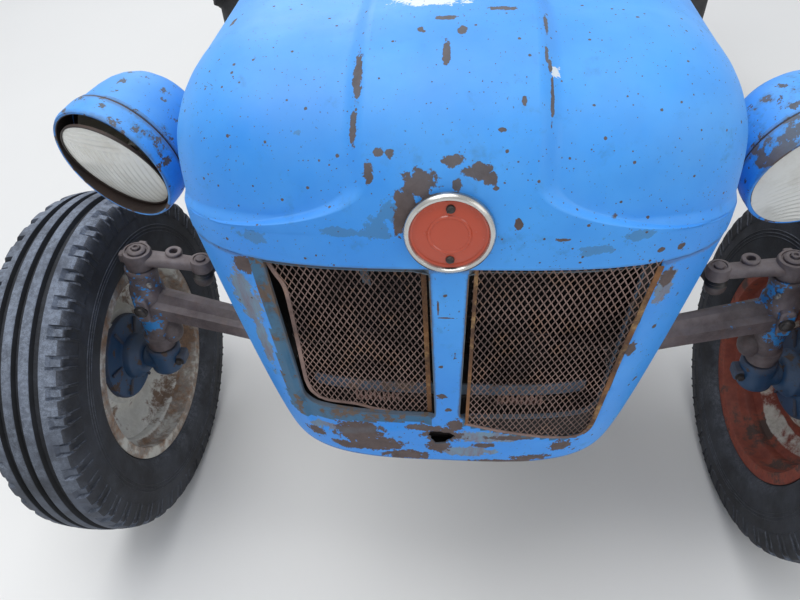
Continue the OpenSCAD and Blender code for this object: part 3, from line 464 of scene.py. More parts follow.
# speckle: small chips and pinholes
speckle, g, given, result = newGroup("speckle", {"Place": None, "Size": 120.0, "Amount": 0.3})
cell = g.add("TexVoronoi", {"feature": "F1"}, Scale=given["Size"], Randomness=1.0)
g.put(cell, "Vector", given["Place"])
pick = g.add("SeparateColor")
g.put(pick, 0, cell.outputs["Color"])
chosen = g.math("LESS_THAN", pick.outputs[0], g.times(given["Amount"], 0.4))
size = g.math("MULTIPLY_ADD", pick.outputs[1], 0.16, 0.03)
ragged = g.plus(cell.outputs["Distance"], g.times(g.noise(given["Place"], 700.0, 2.0), 0.12))
spot = g.math("LESS_THAN", g.minus(ragged, 0.06), size)
g.put(result, "Mask", g.times(chosen, spot))

# scratches: long thin marks in one main direction
scratches, g, given, result = newGroup("scratches",
    {"Place": None, "Size": 14.0, "Amount": 0.3, "Turn": None})
spin = g.add("VectorRotate", {"rotation_type": "EULER_XYZ"})
g.put(spin, "Vector", given["Place"])
g.put(spin, "Rotation", given["Turn"])
wobble = g.vector("ADD", spin.outputs[0],
    g.vector("MULTIPLY", g.add("TexNoise", Scale=5.0).outputs["Color"], (0.03, 0.03, 0.03)))
streak = g.noise(g.vector("MULTIPLY", wobble, (1.0, 34.0, 34.0)), given["Size"], 2.0, 0.4)
where = g.noise(given["Place"], 6.0, 2.0)
limit = g.minus(0.82, g.times(given["Amount"], g.times(where, 0.5)))
g.put(result, "Mask", g.step(streak, limit, g.plus(limit, 0.03)))

# settled dust: more on faces that look up, broken by noise
dust, g, given, result = newGroup("dust", {"Place": None, "Amount": 0.4, "Size": 7.0})
facing = g.add("SeparateXYZ", Vector=g.add("NewGeometry").outputs["Normal"]).outputs[2]
cover = g.times(g.step(facing, -0.5, 0.9, 0.25, 1.0), g.noise(given["Place"], given["Size"], 6.0, 0.65))
g.put(result, "Mask", g.times(g.step(cover, 0.22, 0.62), given["Amount"], clamp=True))

# edge wear: where the surface is sharply convex
edgeWear, g, given, result = newGroup("edgeWear", {"Place": None, "Amount": 0.5})
point = g.add("NewGeometry").outputs["Pointiness"]
broken = g.times(g.minus(g.noise(given["Place"], 38.0, 6.0, 0.7), 0.5), 0.12)
g.put(result, "Mask", g.times(g.step(g.plus(point, broken), 0.53, 0.58), given["Amount"], clamp=True))

# spot: one patch at a place, stretched as the axes say; Rag is a shared noise that frays its edge
spotGroup, g, given, result = newGroup("spot", {"Place": None, "At": None, "Reach": None, "Rag": 0.0})
away = g.vector("DIVIDE", g.vector("SUBTRACT", given["Place"], given["At"]), given["Reach"])
frayed = g.plus(g.vector("LENGTH", away), given["Rag"])
g.put(result, "Mask", g.step(frayed, 1.0, 0.88))


def newMaterial(name):
    material = bpy.data.materials.new(name)
    material.use_nodes = True
    tree = material.node_tree
    shader = tree.nodes["Principled BSDF"]
    graph = Graph(tree)
    where = graph.add("TexCoord").outputs["Object"]
    return material, graph, shader, where


def spotsOf(graph, where, spots, raggedness=0.6, grain=85.0):
    # the union of several patches, each (place, reach)
    noise = graph.noise(where, grain, 7.0, 0.68)
    rag = graph.times(graph.minus(noise, 0.5), raggedness * 3)
    mask = None
    for at, reach in spots:
        one = graph.group(spotGroup, Place=where, At=at, Reach=reach, Rag=rag).outputs[0]
        mask = one if mask is None else graph.most(mask, one)
    return mask


def bumpOf(graph, height, strength, distance):
    node = graph.add("Bump", Height=height, Strength=strength, Distance=distance)
    return node.outputs[0]


paintBlue = {"colour": rgb(0.024, 0.265, 0.8), "faded": rgb(0.06, 0.37, 0.92),
    "grimy": rgb(0.03, 0.15, 0.3), "rust": rgb(0.04, 0.027, 0.025), "primer": rgb(0.16, 0.12, 0.115),
    "dust": rgb(0.22, 0.38, 0.5), "gloss": 0.34}


def weatheredPaint(name, look, flaking=0.12, chips=0.25, dirt=0.3, wear=0.3, rustSpots=(), wornSpots=(),
        dullSpots=(), paleSpots=()):
    material, g, shader, where = newMaterial(name)
    tone = g.noise(where, 3.5, 5.0, 0.6)
    colour = g.mix(g.step(tone, 0.35, 0.75), look["colour"], look["faded"])
    mottled = g.noise(where, 26.0, 6.0, 0.7)
    colour = g.mix(g.step(mottled, 0.56, 0.78, 0.0, 0.5), colour, look["grimy"])
    flake = g.group(flakes, Place=where, Size=7.0, Amount=flaking, Raggedness=0.4)
    small = g.group(flakes, Place=where, Size=46.0, Amount=flaking * 0.9, Raggedness=0.3)
    chip = g.group(speckle, Place=where, Size=95.0, Amount=chips)
    pin = g.group(speckle, Place=where, Size=240.0, Amount=chips * 1.2)
    scratch = g.group(scratches, Place=where, Size=12.0, Amount=0.35, Turn=(0.3, 0.5, 0.9))
    edges = g.group(edgeWear, Place=where, Amount=wear)
    bare = g.most(flake.outputs[0], small.outputs[0])
    bare = g.most(bare, g.most(chip.outputs[0], pin.outputs[0]))
    bare = g.most(bare, edges.outputs[0])
    if rustSpots:
        bare = g.most(bare, spotsOf(g, where, rustSpots, 0.8, 115.0))
    rustTone = g.mix(g.noise(where, 60.0, 6.0, 0.7), look["rust"], look["primer"])
    colour = g.mix(g.times(flake.outputs[1], 0.35), colour, look["grimy"])
    colour = g.mix(g.times(scratch.outputs[0], 0.7), colour, look["rust"])
    if dullSpots:
        colour = g.mix(g.times(spotsOf(g, where, dullSpots, 1.2, 60.0), 0.5), colour,
            rgb(0.05, 0.14, 0.19))
    if wornSpots:
        streaky = g.noise(g.vector("MULTIPLY", where, (90.0, 90.0, 24.0)), 1.0, 6.0, 0.7)
        khaki = g.mix(g.step(streaky, 0.35, 0.65), rgb(0.19, 0.12, 0.055), rgb(0.17, 0.25, 0.25))
        colour = g.mix(g.times(spotsOf(g, where, wornSpots, 0.8), 0.8), colour, khaki)
    if paleSpots:
        colour = g.mix(spotsOf(g, where, paleSpots, 1.1, 130.0), colour, rgb(0.7, 0.75, 0.78))
    colour = g.mix(bare, colour, rustTone)
    film = g.group(dust, Place=where, Amount=dirt, Size=9.0).outputs[0]
    colour = g.mix(g.times(film, 0.5), colour, look["dust"])
    g.put(shader, "Base Color", colour)
    rough = g.blend(bare, g.plus(g.times(mottled, 0.2), look["gloss"]), 0.85)
    g.put(shader, "Roughness", g.plus(rough, g.times(film, 0.25), clamp=True))
    orange = g.noise(where, 180.0, 3.0, 0.5)
    height = g.plus(g.times(orange, 0.06), g.times(bare, -0.5))
    height = g.plus(height, g.times(g.noise(where, 420.0, 4.0), g.times(bare, 0.35)))
    g.put(shader, "Normal", bumpOf(g, height, 0.6, 0.0012))
    return material


def roughMetal(name, dark, light, stain, rough=0.65, metal=0.25, grain=90.0, amount=0.5, bumpBy=0.7,
        paintLeft=None, leftFrom=None):
    # cast or forged metal with oil, rust and rests of paint
    material, g, shader, where = newMaterial(name)
    tone = g.noise(where, 11.0, 7.0, 0.68)
    colour = g.mix(g.step(tone, 0.3, 0.7), dark, light)
    blot = g.step(g.noise(where, 27.0, 7.0, 0.7), 0.5, 0.68)
    colour = g.mix(g.times(blot, amount), colour, stain)
    if paintLeft:
        # rests of paint, more of them further out from the middle and higher up
        split = g.add("SeparateXYZ", Vector=where)
        far = g.plus(g.math("ABSOLUTE", split.outputs[0]), g.times(g.minus(split.outputs[2], 0.5), 0.9))
        share = g.step(far, leftFrom[0], leftFrom[1], 0.1, 0.6)
        left = g.group(flakes, Place=where, Size=13.0, Amount=share, Raggedness=0.6).outputs[0]
        colour = g.mix(left, colour, paintLeft)
    film = g.group(dust, Place=where, Amount=0.35, Size=14.0).outputs[0]
    colour = g.mix(g.times(film, 0.5), colour, rgb(0.22, 0.2, 0.18))
    g.put(shader, "Base Color", colour)
    pitted = g.noise(where, grain, 8.0, 0.7)
    g.put(shader, "Roughness", g.plus(g.times(pitted, 0.3), rough - 0.15, clamp=True))
    g.put(shader, "Metallic", g.times(g.minus(1.0, blot), metal))
    g.put(shader, "Normal", bumpOf(g, g.plus(pitted, g.times(blot, 0.3)), bumpBy, 0.0015))
    return material


# marks on the nose in millimetres: from the middle, ahead of the axle, height, half width, half length
def marksAt(places):
    rows = np.array(places) / 1000
    return [((x, frontY - ahead, z), (wide, tall, tall)) for x, ahead, z, wide, tall in rows]


rustMarks = marksAt([(-94, 271, 1121, 5.8, 27), (-97, 306, 1089, 4, 19), (-71, 328, 1073, 5, 4.6),
    (-60, 329, 1072, 4.5, 4.6), (-81, 336, 1056, 5.2, 12.5), (-30, 342, 1045, 19, 16),
    (-45, 348, 1021, 12.5, 24), (-52, 350, 1004, 7, 14), (7, 342, 1043, 5.5, 7), (4, 332, 1066, 12, 6.2),
    (27, 337, 1057, 17, 8.5), (39, 340, 1050, 8, 9), (45, 343, 1041, 3.5, 2.2),
    (-261, 118, 1124, 4.7, 9.5), (-6, 253, 1139, 4.2, 16), (-33, 220, 1150, 3.3, 4.2),
    (9, 223, 1149, 5, 8.2), (-8, 200, 1154, 11.3, 4.5), (70, 297, 1110, 2.6, 5),
    (97, 288, 1107, 2.1, 23.5), (50, 316, 1090, 4.5, 2.6), (51, 183, 1156, 16, 4.5),
    (207, 325, 1033, 3.3, 3.3), (169, 337, 1004, 4.3, 3.6), (116, 353, 985, 9.1, 2.6),
    (70, 352, 1005, 3.8, 8), (222, 338, 962, 4.6, 3.5), (245, 331, 961, 5.2, 4.2),
    (-143, 190, 1145, 3.5, 4.3), (95, 262, 1128, 2.4, 9), (92, 248, 1134, 2, 12),
    (94, 205, 1145, 2.4, 18)])
paleMarks = marksAt([(-22, 160, 1159, 40, 13), (101, 264, 1123, 6.5, 7)])
dullMarks = marksAt([(-72, 353, 1000, 15, 15), (-154, 308, 1083, 6, 4.5), (150, 351, 969, 22, 6),
    (-218, 339, 976, 36, 8), (195, 344, 985, 34, 6.2), (-109, 352, 992, 27, 5.3),
    (-60, 353, 1018, 10, 20)])
shellMarks = marksAt([(-236, 334, 928, 16, 14), (-128, 352, 622, 40, 26), (-105, 354, 600, 44, 20),
    (-60, 355, 575, 36, 12), (-150, 350, 585, 30, 10), (-12, 356, 602, 18, 20), (-6, 356, 630, 30, 20),
    (-30, 356, 645, 30, 8), (12, 356, 655, 12, 14), (-4, 356, 906, 2.8, 2.3), (-9, 356, 781, 3.2, 3),
    (-3, 356, 870, 10.5, 1.2), (-8, 356, 720, 7, 6), (2, 356, 690, 5, 4), (-12, 356, 885, 1.2, 12),
    (241, 332, 918, 8, 16), (248, 324, 831, 3.3, 5), (226, 334, 799, 8, 13), (165, 346, 598, 17, 14),
    (120, 351, 574, 34, 8), (52, 356, 607, 17, 6), (80, 354, 566, 60, 4.5), (-200, 340, 600, 20, 14),
    (100, 354, 627, 50, 6), (-215, 338, 655, 8, 22), (190, 345, 607, 10, 6)])
shellWorn = marksAt([(-250, 325, 872, 20, 46), (-243, 322, 790, 9, 60), (241, 332, 905, 10, 30),
    (50, 355, 628, 50, 14), (30, 356, 590, 40, 12), (-190, 340, 620, 30, 8)])
blueMetal = weatheredPaint("blueSheetMetal", paintBlue, flaking=0.05, chips=0.85, dirt=0.3, wear=0.25,
    rustSpots=rustMarks, dullSpots=dullMarks, paleSpots=paleMarks)
plainBlue = weatheredPaint("bluePaint", paintBlue, flaking=0.2, chips=0.4, dirt=0.4, wear=0.45)
bluePods = weatheredPaint("blueLampPods", paintBlue, flaking=0.42, chips=0.5, dirt=0.5, wear=0.5)
shellBlue = weatheredPaint("blueGrilleShell", paintBlue, flaking=0.16, chips=0.5, dirt=0.4, wear=0.5,
    rustSpots=shellMarks, wornSpots=shellWorn)
seatBlue = weatheredPaint("wornPanelSeat", {"colour": rgb(0.03, 0.13, 0.25), "faded": rgb(0.1, 0.17, 0.21),
    "grimy": rgb(0.05, 0.05, 0.05), "rust": rgb(0.09, 0.055, 0.035), "primer": rgb(0.17, 0.13, 0.11),
    "dust": rgb(0.2, 0.2, 0.18), "gloss": 0.5}, flaking=0.46, chips=0.4, dirt=0.5, wear=0.4)
darkBlue = weatheredPaint("oldDarkBlue", {"colour": rgb(0.012, 0.05, 0.12), "faded": rgb(0.03, 0.1, 0.22),
    "grimy": rgb(0.012, 0.014, 0.018), "rust": rgb(0.05, 0.03, 0.024), "primer": rgb(0.1, 0.07, 0.055),
    "dust": rgb(0.2, 0.19, 0.17), "gloss": 0.4}, flaking=0.35, chips=0.4, dirt=0.5, wear=0.5)
seatPaint = weatheredPaint("wornSeatPaint",
    {"colour": rgb(0.015, 0.07, 0.2), "faded": rgb(0.04, 0.14, 0.32), "grimy": rgb(0.015, 0.03, 0.05),
    "rust": rgb(0.1, 0.05, 0.03), "primer": rgb(0.17, 0.13, 0.11), "dust": rgb(0.24, 0.24, 0.22),
    "gloss": 0.38}, flaking=0.38, chips=0.3, dirt=0.4, wear=0.6)
casting = roughMetal("oilyCasting", rgb(0.04, 0.033, 0.034), rgb(0.12, 0.1, 0.1), rgb(0.085, 0.05, 0.038))
# near-black painted shade: inner sides of the sheets, the plates, rod and bolster inside the nose, and the
# seat under the right mesh panel
paintedShadeInside = roughMetal("paintedShadeInside", rgb(0.008, 0.007, 0.007), rgb(0.02, 0.017, 0.017),
    rgb(0.035, 0.02, 0.015), rough=0.8, metal=0.0)
axleMetal = roughMetal("axleMetal", rgb(0.075, 0.058, 0.062), rgb(0.19, 0.16, 0.17), rgb(0.12, 0.07, 0.06),
    rough=0.6, paintLeft=rgb(0.03, 0.24, 0.6), leftFrom=(0.5, 0.66))
armMetal = roughMetal("armMetal", rgb(0.08, 0.062, 0.066), rgb(0.21, 0.18, 0.185), rgb(0.12, 0.075, 0.065),
    rough=0.6)
rustyMetal = roughMetal("rustyMetal", rgb(0.07, 0.035, 0.025), rgb(0.25, 0.12, 0.075),
    rgb(0.32, 0.13, 0.04), rough=0.8, metal=0.1)
meshMetal = roughMetal("meshMetal", rgb(0.1, 0.065, 0.058), rgb(0.34, 0.23, 0.2), rgb(0.36, 0.19, 0.1),
    rough=0.75, metal=0.15, grain=300.0, amount=0.4)
orangeRust = roughMetal("orangeRust", rgb(0.06, 0.03, 0.02), rgb(0.27, 0.12, 0.042), rgb(0.5, 0.32, 0.14),
    rough=0.85, metal=0.0, grain=240.0, amount=0.6)
bareSteel = roughMetal("bareSteel", rgb(0.2, 0.19, 0.18), rgb(0.42, 0.41, 0.4), rgb(0.15, 0.1, 0.07),
    rough=0.45, metal=0.7)


def wheelPaint(name, look, centre):
    # paint on a rim: rust gathers in rings round the axle
    material, g, shader, where = newMaterial(name)
    split = g.add("SeparateXYZ", Vector=where)
    sideways = g.minus(split.outputs[1], centre[0])
    upwards = g.minus(split.outputs[2], centre[1])
    away = g.math("SQRT", g.plus(g.times(sideways, sideways), g.times(upwards, upwards)))
    cloudy = g.noise(where, 14.0, 7.0, 0.68)
    grainy = g.noise(where, 75.0, 7.0, 0.7)
    colour = g.mix(g.step(cloudy, 0.35, 0.65), look["dark"], look["light"])
    colour = g.mix(g.step(g.plus(cloudy, g.times(grainy, 0.35)), 0.66, 0.8), colour, look["stain"])
    rusty = None
    for near, far, limit in look["rings"]:
        band = g.times(g.step(away, near - 0.012, near), g.step(away, far + 0.012, far))
        frayed = g.step(g.plus(g.times(band, 0.5), g.times(cloudy, 0.9)), limit, limit + 0.12)
        rusty = frayed if rusty is None else g.most(rusty, frayed)
    rustTone = g.mix(g.step(grainy, 0.4, 0.65), look["rust"], look["brightRust"])
    colour = g.mix(g.times(rusty, look["cover"]), colour, rustTone)
    film = g.group(dust, Place=where, Amount=0.4, Size=14.0).outputs[0]
    colour = g.mix(g.times(film, 0.25), colour, rgb(0.2, 0.18, 0.15))
    g.put(shader, "Base Color", colour)
    g.put(shader, "Roughness", g.plus(g.times(grainy, 0.35), 0.45, clamp=True))
    g.put(shader, "Normal", bumpOf(g, g.plus(grainy, g.times(rusty, 0.4)), 0.6, 0.0012))
    return material


frontCentre, rearCentre = (frontY, 0.365), (rearY, rearHubZ)
creamLook = {"dark": rgb(0.55, 0.54, 0.49), "light": rgb(0.82, 0.82, 0.77), "stain": rgb(0.2, 0.13, 0.09),
    "rust": rgb(0.1, 0.055, 0.035), "brightRust": rgb(0.27, 0.15, 0.08),
    "rings": [(0.188, 0.24, 0.84), (0.118, 0.130, 0.9)], "cover": 0.75}
redLook = {"dark": rgb(0.17, 0.03, 0.018), "light": rgb(0.33, 0.06, 0.025),
    "stain": rgb(0.06, 0.03, 0.025), "rust": rgb(0.62, 0.6, 0.54), "brightRust": rgb(0.45, 0.42, 0.36),
    "rings": [(0.10, 0.112, 0.9), (0.14, 0.166, 0.86)], "cover": 0.95}
rearLook = dict(creamLook, rings=[(0.31, 0.345, 0.74), (0.352, 0.39, 0.62), (0.05, 0.13, 0.84)])
creamRim = wheelPaint("creamRim", creamLook, frontCentre)
redRim = wheelPaint("redRim", redLook, frontCentre)
rearRim = wheelPaint("rearRimPaint", rearLook, rearCentre)


def makeRubber(name, look):
    material, g, shader, where = newMaterial(name)
    colour = g.mix(g.step(g.noise(where, 9.0, 6.0, 0.65), 0.35, 0.7), look["dark"], look["light"])
    cracks = g.noise(where, 120.0, 6.0, 0.75)
    powder = g.group(dust, Place=where, Amount=look["dust"], Size=16.0).outputs[0]
    speckled = g.noise(where, 650.0, 3.0, 0.7)
    grey = g.times(g.step(g.plus(cracks, g.times(speckled, 0.6)), 0.72, 0.9), 0.75)
    colour = g.mix(g.times(grey, powder), colour, look["powder"])
    colour = g.mix(g.times(powder, 0.35), colour, look["powder"])
    g.put(shader, "Base Color", colour)
    g.put(shader, "Roughness", g.plus(g.times(cracks, 0.2), 0.72))
    g.put(shader, "Normal", bumpOf(g, cracks, 0.5, 0.0012))
    return material


rubber = makeRubber("tyreRubber", {"dark": rgb(0.014, 0.015, 0.019), "light": rgb(0.035, 0.039, 0.05),
    "powder": rgb(0.17, 0.19, 0.23), "dust": 0.5})
# darker rubber in the tread grooves: painted shade
grooveShadeRubber = makeRubber("grooveShadeRubber",
    {"dark": rgb(0.007, 0.008, 0.01), "light": rgb(0.016, 0.018, 0.024), "powder": rgb(0.07, 0.08, 0.1),
    "dust": 0.35})
rearRubber = makeRubber("rearTyreRubber",
    {"dark": rgb(0.02, 0.021, 0.023), "light": rgb(0.05, 0.051, 0.053), "powder": rgb(0.22, 0.2, 0.17),
    "dust": 0.75})
# dusty, worn tread tops, also made lighter and bluer as painted sky light
treadDustAndSkyLight = makeRubber("treadDustAndSkyLight", {"dark": rgb(0.035, 0.04, 0.052), "light": rgb(0.09, 0.105, 0.14),
    "powder": rgb(0.24, 0.28, 0.35), "dust": 0.95})


def plainGloss(name, colour, rough, metal=0.0, coat=0.0, dirtColour=rgb(0.08, 0.07, 0.06), dirt=0.35,
        bumps=0.15):
    material, g, shader, where = newMaterial(name)
    spots = g.step(g.noise(where, 55.0, 7.0, 0.7), 0.5, 0.8)
    film = g.group(dust, Place=where, Amount=dirt, Size=20.0).outputs[0]
    g.put(shader, "Base Color", g.mix(g.most(g.times(spots, dirt), film), colour, dirtColour))
    g.put(shader, "Roughness", g.plus(g.times(spots, 0.3), rough, clamp=True))
    shader.inputs["Metallic"].default_value = metal
    shader.inputs["Coat Weight"].default_value = coat
    g.put(shader, "Normal", bumpOf(g, g.noise(where, 260.0, 4.0), bumps, 0.0006))
    return material


lampInside = plainGloss("lampInside", rgb(0.022, 0.015, 0.013), 0.6, dirt=0.4,
    dirtColour=rgb(0.075, 0.035, 0.022))
springRust = plainGloss("springRust", rgb(0.5, 0.3, 0.26), 0.7, dirt=0.3)
chrome = plainGloss("oldChrome", rgb(0.6, 0.6, 0.58), 0.22, metal=1.0, dirt=0.35)
enamel = plainGloss("redEnamel", rgb(0.5, 0.055, 0.015), 0.2, coat=0.5, dirt=0.2,
    dirtColour=rgb(0.12, 0.03, 0.02))
blackTrim = plainGloss("blackTrim", rgb(0.02, 0.02, 0.021), 0.4, dirt=0.3, dirtColour=rgb(0.12, 0.11, 0.1))
screwMetal = plainGloss("screwMetal", rgb(0.06, 0.055, 0.055), 0.5, metal=0.6, dirt=0.3)
radiatorBlack = plainGloss("radiatorBlack", rgb(0.02, 0.02, 0.022), 0.65, dirt=0.5,
    dirtColour=rgb(0.1, 0.07, 0.055))
fanRed = plainGloss("fanRed", rgb(0.3, 0.03, 0.02), 0.5, dirt=0.5)
pumpMetal = plainGloss("pumpMetal", rgb(0.34, 0.34, 0.33), 0.5, metal=0.7, dirt=0.5)
reflector = plainGloss("lampReflector", rgb(0.62, 0.6, 0.54), 0.3, metal=0.8, dirt=0.4,
    dirtColour=rgb(0.2, 0.15, 0.1))
dialWhite = plainGloss("dialFace", rgb(0.72, 0.7, 0.62), 0.45, dirt=0.25, dirtColour=rgb(0.35, 0.28, 0.18),
    bumps=0.05)
redLens = plainGloss("redLampGlass", rgb(0.35, 0.015, 0.01), 0.15, coat=0.6, dirt=0.3)


def makeLens(name, look):
    material, g, shader, where = newMaterial(name)
    grime = g.step(g.noise(where, 22.0, 6.0, 0.7), 0.45, 0.8, 0.0, 0.6)
    g.put(shader, "Base Color", g.mix(grime, look["glass"], look["grime"]))
    g.put(shader, "Roughness", g.plus(g.times(grime, 0.4), 0.12))
    shader.inputs["Transmission Weight"].default_value = look["clear"]
    shader.inputs["Coat Weight"].default_value = 0.6
    return material


lampLens = makeLens("flutedLampGlass", {"glass": rgb(0.82, 0.82, 0.77), "grime": rgb(0.5, 0.45, 0.35),
    "clear": 0.15})
print("materials ready")


# nose: one set of formulas for the bonnet, the grille shell and what sits in them
nose = {"reach": 0.356, "fanBack": 0.135, "length": 1.105, "half": 0.335, "topZ": 1.158, "rise": 0.05,
    "seamZ": 0.945, "lowZ": 0.564, "lowHalf": 0.27, "sheet": 0.003, "creaseDepth": 0.012,
    "creaseRun": 0.026, "ridgeHalf": 0.084, "topRound": 3.3, "noseRound": 3.5, "browRound": 2.5,
    "flareFrom": 64.0, "flareTo": 79.0, "barHalf": 0.022, "openHalf": 0.213, "openLowHalf": 0.204,
    "openZ": 0.668, "cornerR": 0.022}
noseDepth = nose["reach"] - nose["fanBack"]
noseY = frontY - nose["fanBack"]
seamZ = nose["seamZ"]


def held(t):
    return max(0.0, min(1.0, t))


def ease(t):
    return held(t) ** 2 * (3 - 2 * held(t))


def mixed(a, b, t):
    return a + (b - a) * t


def creaseEdge(turn):
    t = held((turn - nose["flareFrom"]) / (nose["flareTo"] - nose["flareFrom"]))
    return mixed(nose["ridgeHalf"], nose["half"] * 0.955, 1 - sqrt(1 - t * t))


def bonnetPoint(x, turn, back, inset):
    # x is the distance from the middle, turn runs from 0 on top to 90 at the seam
    along = held(back / (nose["length"] - nose["reach"] + nose["fanBack"]))
    half, high = nose["half"], nose["topZ"] - seamZ + nose["rise"] * along
    deep = noseDepth - inset
    high -= inset
    turnR = radians(turn)
    reach = high if turn <= 0 else ((cos(turnR) / high) ** nose["browRound"]
        + (sin(turnR) / deep) ** nose["browRound"]) ** (-1 / nose["browRound"])
    n = mixed(nose["topRound"], nose["noseRound"], turn / 90)
    share = min(1.0, abs(x) / half)
    fall = max(0.0, 1 - share**n) ** (1 / n)
    near = min(abs(x) - creaseEdge(turn), (nose["flareTo"] + 1.5 - turn) * 0.0042)
    fade = 1 - ease((near - 0.04) / 0.12)
    dent = nose["creaseDepth"] * ease(near / nose["creaseRun"]) * fade
    r = reach * fall - dent * fall**0.5
    return (x * (1 - inset / half), noseY + back - r * sin(turnR), seamZ + r * cos(turnR))


def bonnetColumns(turn):
    # distances from the middle: an even ridge, close columns in the crease, then round to the side
    edge, run, half = creaseEdge(turn), nose["creaseRun"], nose["half"]
    ridge = [edge * sin(radians(90 * k / 12)) ** 0.9 for k in range(12)]
    step = [edge + min(run, half - edge - 0.002) * k / 7 for k in range(8)]
    n = 3.4
    start = asin((step[-1] / half) ** (n / 2))
    side = [half * sin(mixed(start, pi / 2, k / 20)) ** (2 / n) for k in range(1, 21)]
    return ridge + step + side


def bonnetRows():
    backs = [0.884 - 0.884 * k / 20 for k in range(20)]
    rows = [(0, b) for b in backs] + [(t, 0) for t in np.linspace(0, 60, 25)]
    rows += [(t, 0) for t in np.linspace(61.5, 70, 8)] + [(t, 0) for t in np.linspace(70.5, 82, 27)]
    return rows + [(t, 0) for t in np.linspace(83, 90, 7)]


def bonnetGrid(inset):
    grid = []
    for turn, back in bonnetRows():
        xs = bonnetColumns(turn)
        line = [bonnetPoint(-x, turn, back, inset)
            for x in reversed(xs[1:])] + [bonnetPoint(x, turn, back, inset) for x in xs]
        grid.append(line)
    return np.array(grid)


bonnetOuter, bonnetInner = bonnetGrid(0), bonnetGrid(nose["sheet"])
# the metal is a little wavy, as old sheet is
wave = 0.0009 * np.sin(bonnetOuter[..., 0] * 19 + 1.3) * np.sin(bonnetOuter[..., 1] * 13 + 0.4) - 0.0012
edgeFade = np.ones(bonnetOuter.shape[:2])
edgeFade[0] = edgeFade[-1] = 0
for grid in (bonnetOuter, bonnetInner):
    grid[..., 2] += wave * edgeFade


def paintFaces(shape, pick):
    # one material a face, picked by its middle and by whether it is on the inner side of the sheet
    points = np.asarray(shape[0])
    return [pick(points[list(f)].mean(axis=0), min(f) >= len(points) // 2) for f in shape[1]]


bonnetShape = sheetOf(bonnetOuter[:, ::-1], bonnetInner[:, ::-1])
# the inner side of the bonnet sheet is near black: painted shade
bonnetPaint = paintFaces(bonnetShape, lambda at, inner: paintedShadeInside if inner else blueMetal)
makePiece("bonnetSkin", [(bonnetShape, bonnetPaint)], "bonnet", "bonnet", sharp=50)
print("bonnet ready")


def faceDepth(x, z, inset=0.0):
    half = shellHalf(z) - inset
    return (noseDepth - inset) * max(0.0,
        1 - (abs(x) / half) ** nose["noseRound"]) ** (1 / nose["noseRound"])


def shellHalf(z):
    up = held((z - nose["lowZ"]) / (seamZ - nose["lowZ"]))
    return mixed(nose["lowHalf"], nose["half"] - 0.001, up**0.75)


def shellBack(z):
    return mixed(-nose["fanBack"] + 0.002, -0.02, ease((z - 0.59) / 0.11))


def openEdge(z):
    up = (z - nose["openZ"]) / (seamZ - nose["openZ"])
    drop = held((nose["openZ"] + nose["cornerR"] - z) / nose["cornerR"])
    return mixed(nose["openLowHalf"], nose["openHalf"], up) - nose["cornerR"] * (1 - sqrt(1 - drop * drop))


def barEdge(z):
    up = held((z - nose["openZ"]) / (seamZ - nose["openZ"]))
    drop = held((nose["openZ"] + 0.012 - z) / 0.012)
    return mixed(nose["barHalf"] * 0.75, nose["barHalf"], up) + 0.012 * (1 - sqrt(1 - drop * drop))


openTop = seamZ - 0.008


# the seat for each mesh panel: the sheet is pressed back inside these outlines, in millimetres
seatOutlines = {1: [(21, 652), (75, 638), (135, 620), (178, 610), (198, 616), (207.5, 635), (212, 700),
    (218.5, 780), (225, 860), (234.5, 965), (21, 965)],
    -1: [(21, 652), (75, 648), (135, 641), (186, 634), (217, 630), (231, 646), (232, 703), (228, 800),
    (227, 874), (233, 965), (21, 965)]}
seatDeep, seatWall = 0.0055, 0.0045


def insideBy(outline, x, z):
    # how far a point lies inside an outline, negative outside
    a = np.array(outline) / 1000
    b = np.roll(a, -1, axis=0)
    along = b - a
    t = np.clip(((x - a[:, 0]) * along[:, 0] + (z - a[:, 1]) * along[:, 1]) / (along**2).sum(axis=1), 0, 1)
    near = np.hypot(a[:, 0] + along[:, 0] * t - x, a[:, 1] + along[:, 1] * t - z).min()
    rise = np.where(along[:, 1] == 0, 1e-9, along[:, 1])
    crosses = ((a[:, 1] > z) != (b[:, 1] > z)) & (x < a[:, 0] + (z - a[:, 1]) * along[:, 0] / rise)
    return near if crosses.sum() % 2 else -near


def seatDrop(x, z):
    return seatDeep * ease(insideBy(seatOutlines[1 if x > 0 else -1], abs(x), z) / seatWall)


def facePoint(x, z, inset=0.0):
    return (x, noseY - faceDepth(x, z, inset) + seatDrop(x, z), z)


def shellRows():
    corner = [nose["openZ"] + nose["cornerR"] * (1 - cos(radians(90 * k / 10))) for k in range(11)]
    return ([mixed(nose["lowZ"], nose["openZ"], k / 26) for k in range(26)] + corner
        + [mixed(corner[-1], openTop, k / 30) for k in range(1, 31)] + [seamZ - 0.001])


barColumns, openColumns, sideColumns, backColumns = 4, 34, 44, 5


def shellLine(z, inset):
    inner, outer = barEdge(z), openEdge(max(z, nose["openZ"]))
    xs = [inner * k / barColumns for k in range(barColumns)]
    xs += [mixed(inner, outer, k / openColumns) for k in range(openColumns)]
    half, n = shellHalf(z) - inset, nose["noseRound"]
    start = asin(min(1, (outer / half)) ** (n / 2))
    xs += [half * sin(mixed(start, pi / 2, k / sideColumns)) ** (2 / n) for k in range(sideColumns + 1)]
    right = [facePoint(x, z, inset) for x in xs]
    back = frontY + shellBack(z)
    right += [(half, mixed(noseY, back, k / backColumns), z) for k in range(1, backColumns + 1)]
    return [(-x, y, h) for x, y, h in reversed(right[1:])] + right


shellOuter = np.array([shellLine(z, 0) for z in shellRows()])
shellInner = np.array([shellLine(z, nose["sheet"]) for z in shellRows()])
middleColumn = shellOuter.shape[1] // 2
firstOpenRow, lastOpenRow = 26, len(shellRows()) - 2


def inOpening(i, j):
    side = j - middleColumn if j >= middleColumn else middleColumn - 1 - j
    return firstOpenRow <= i < lastOpenRow and barColumns <= side < barColumns + openColumns


shellShape = sheetOf(shellOuter, shellInner, inOpening)


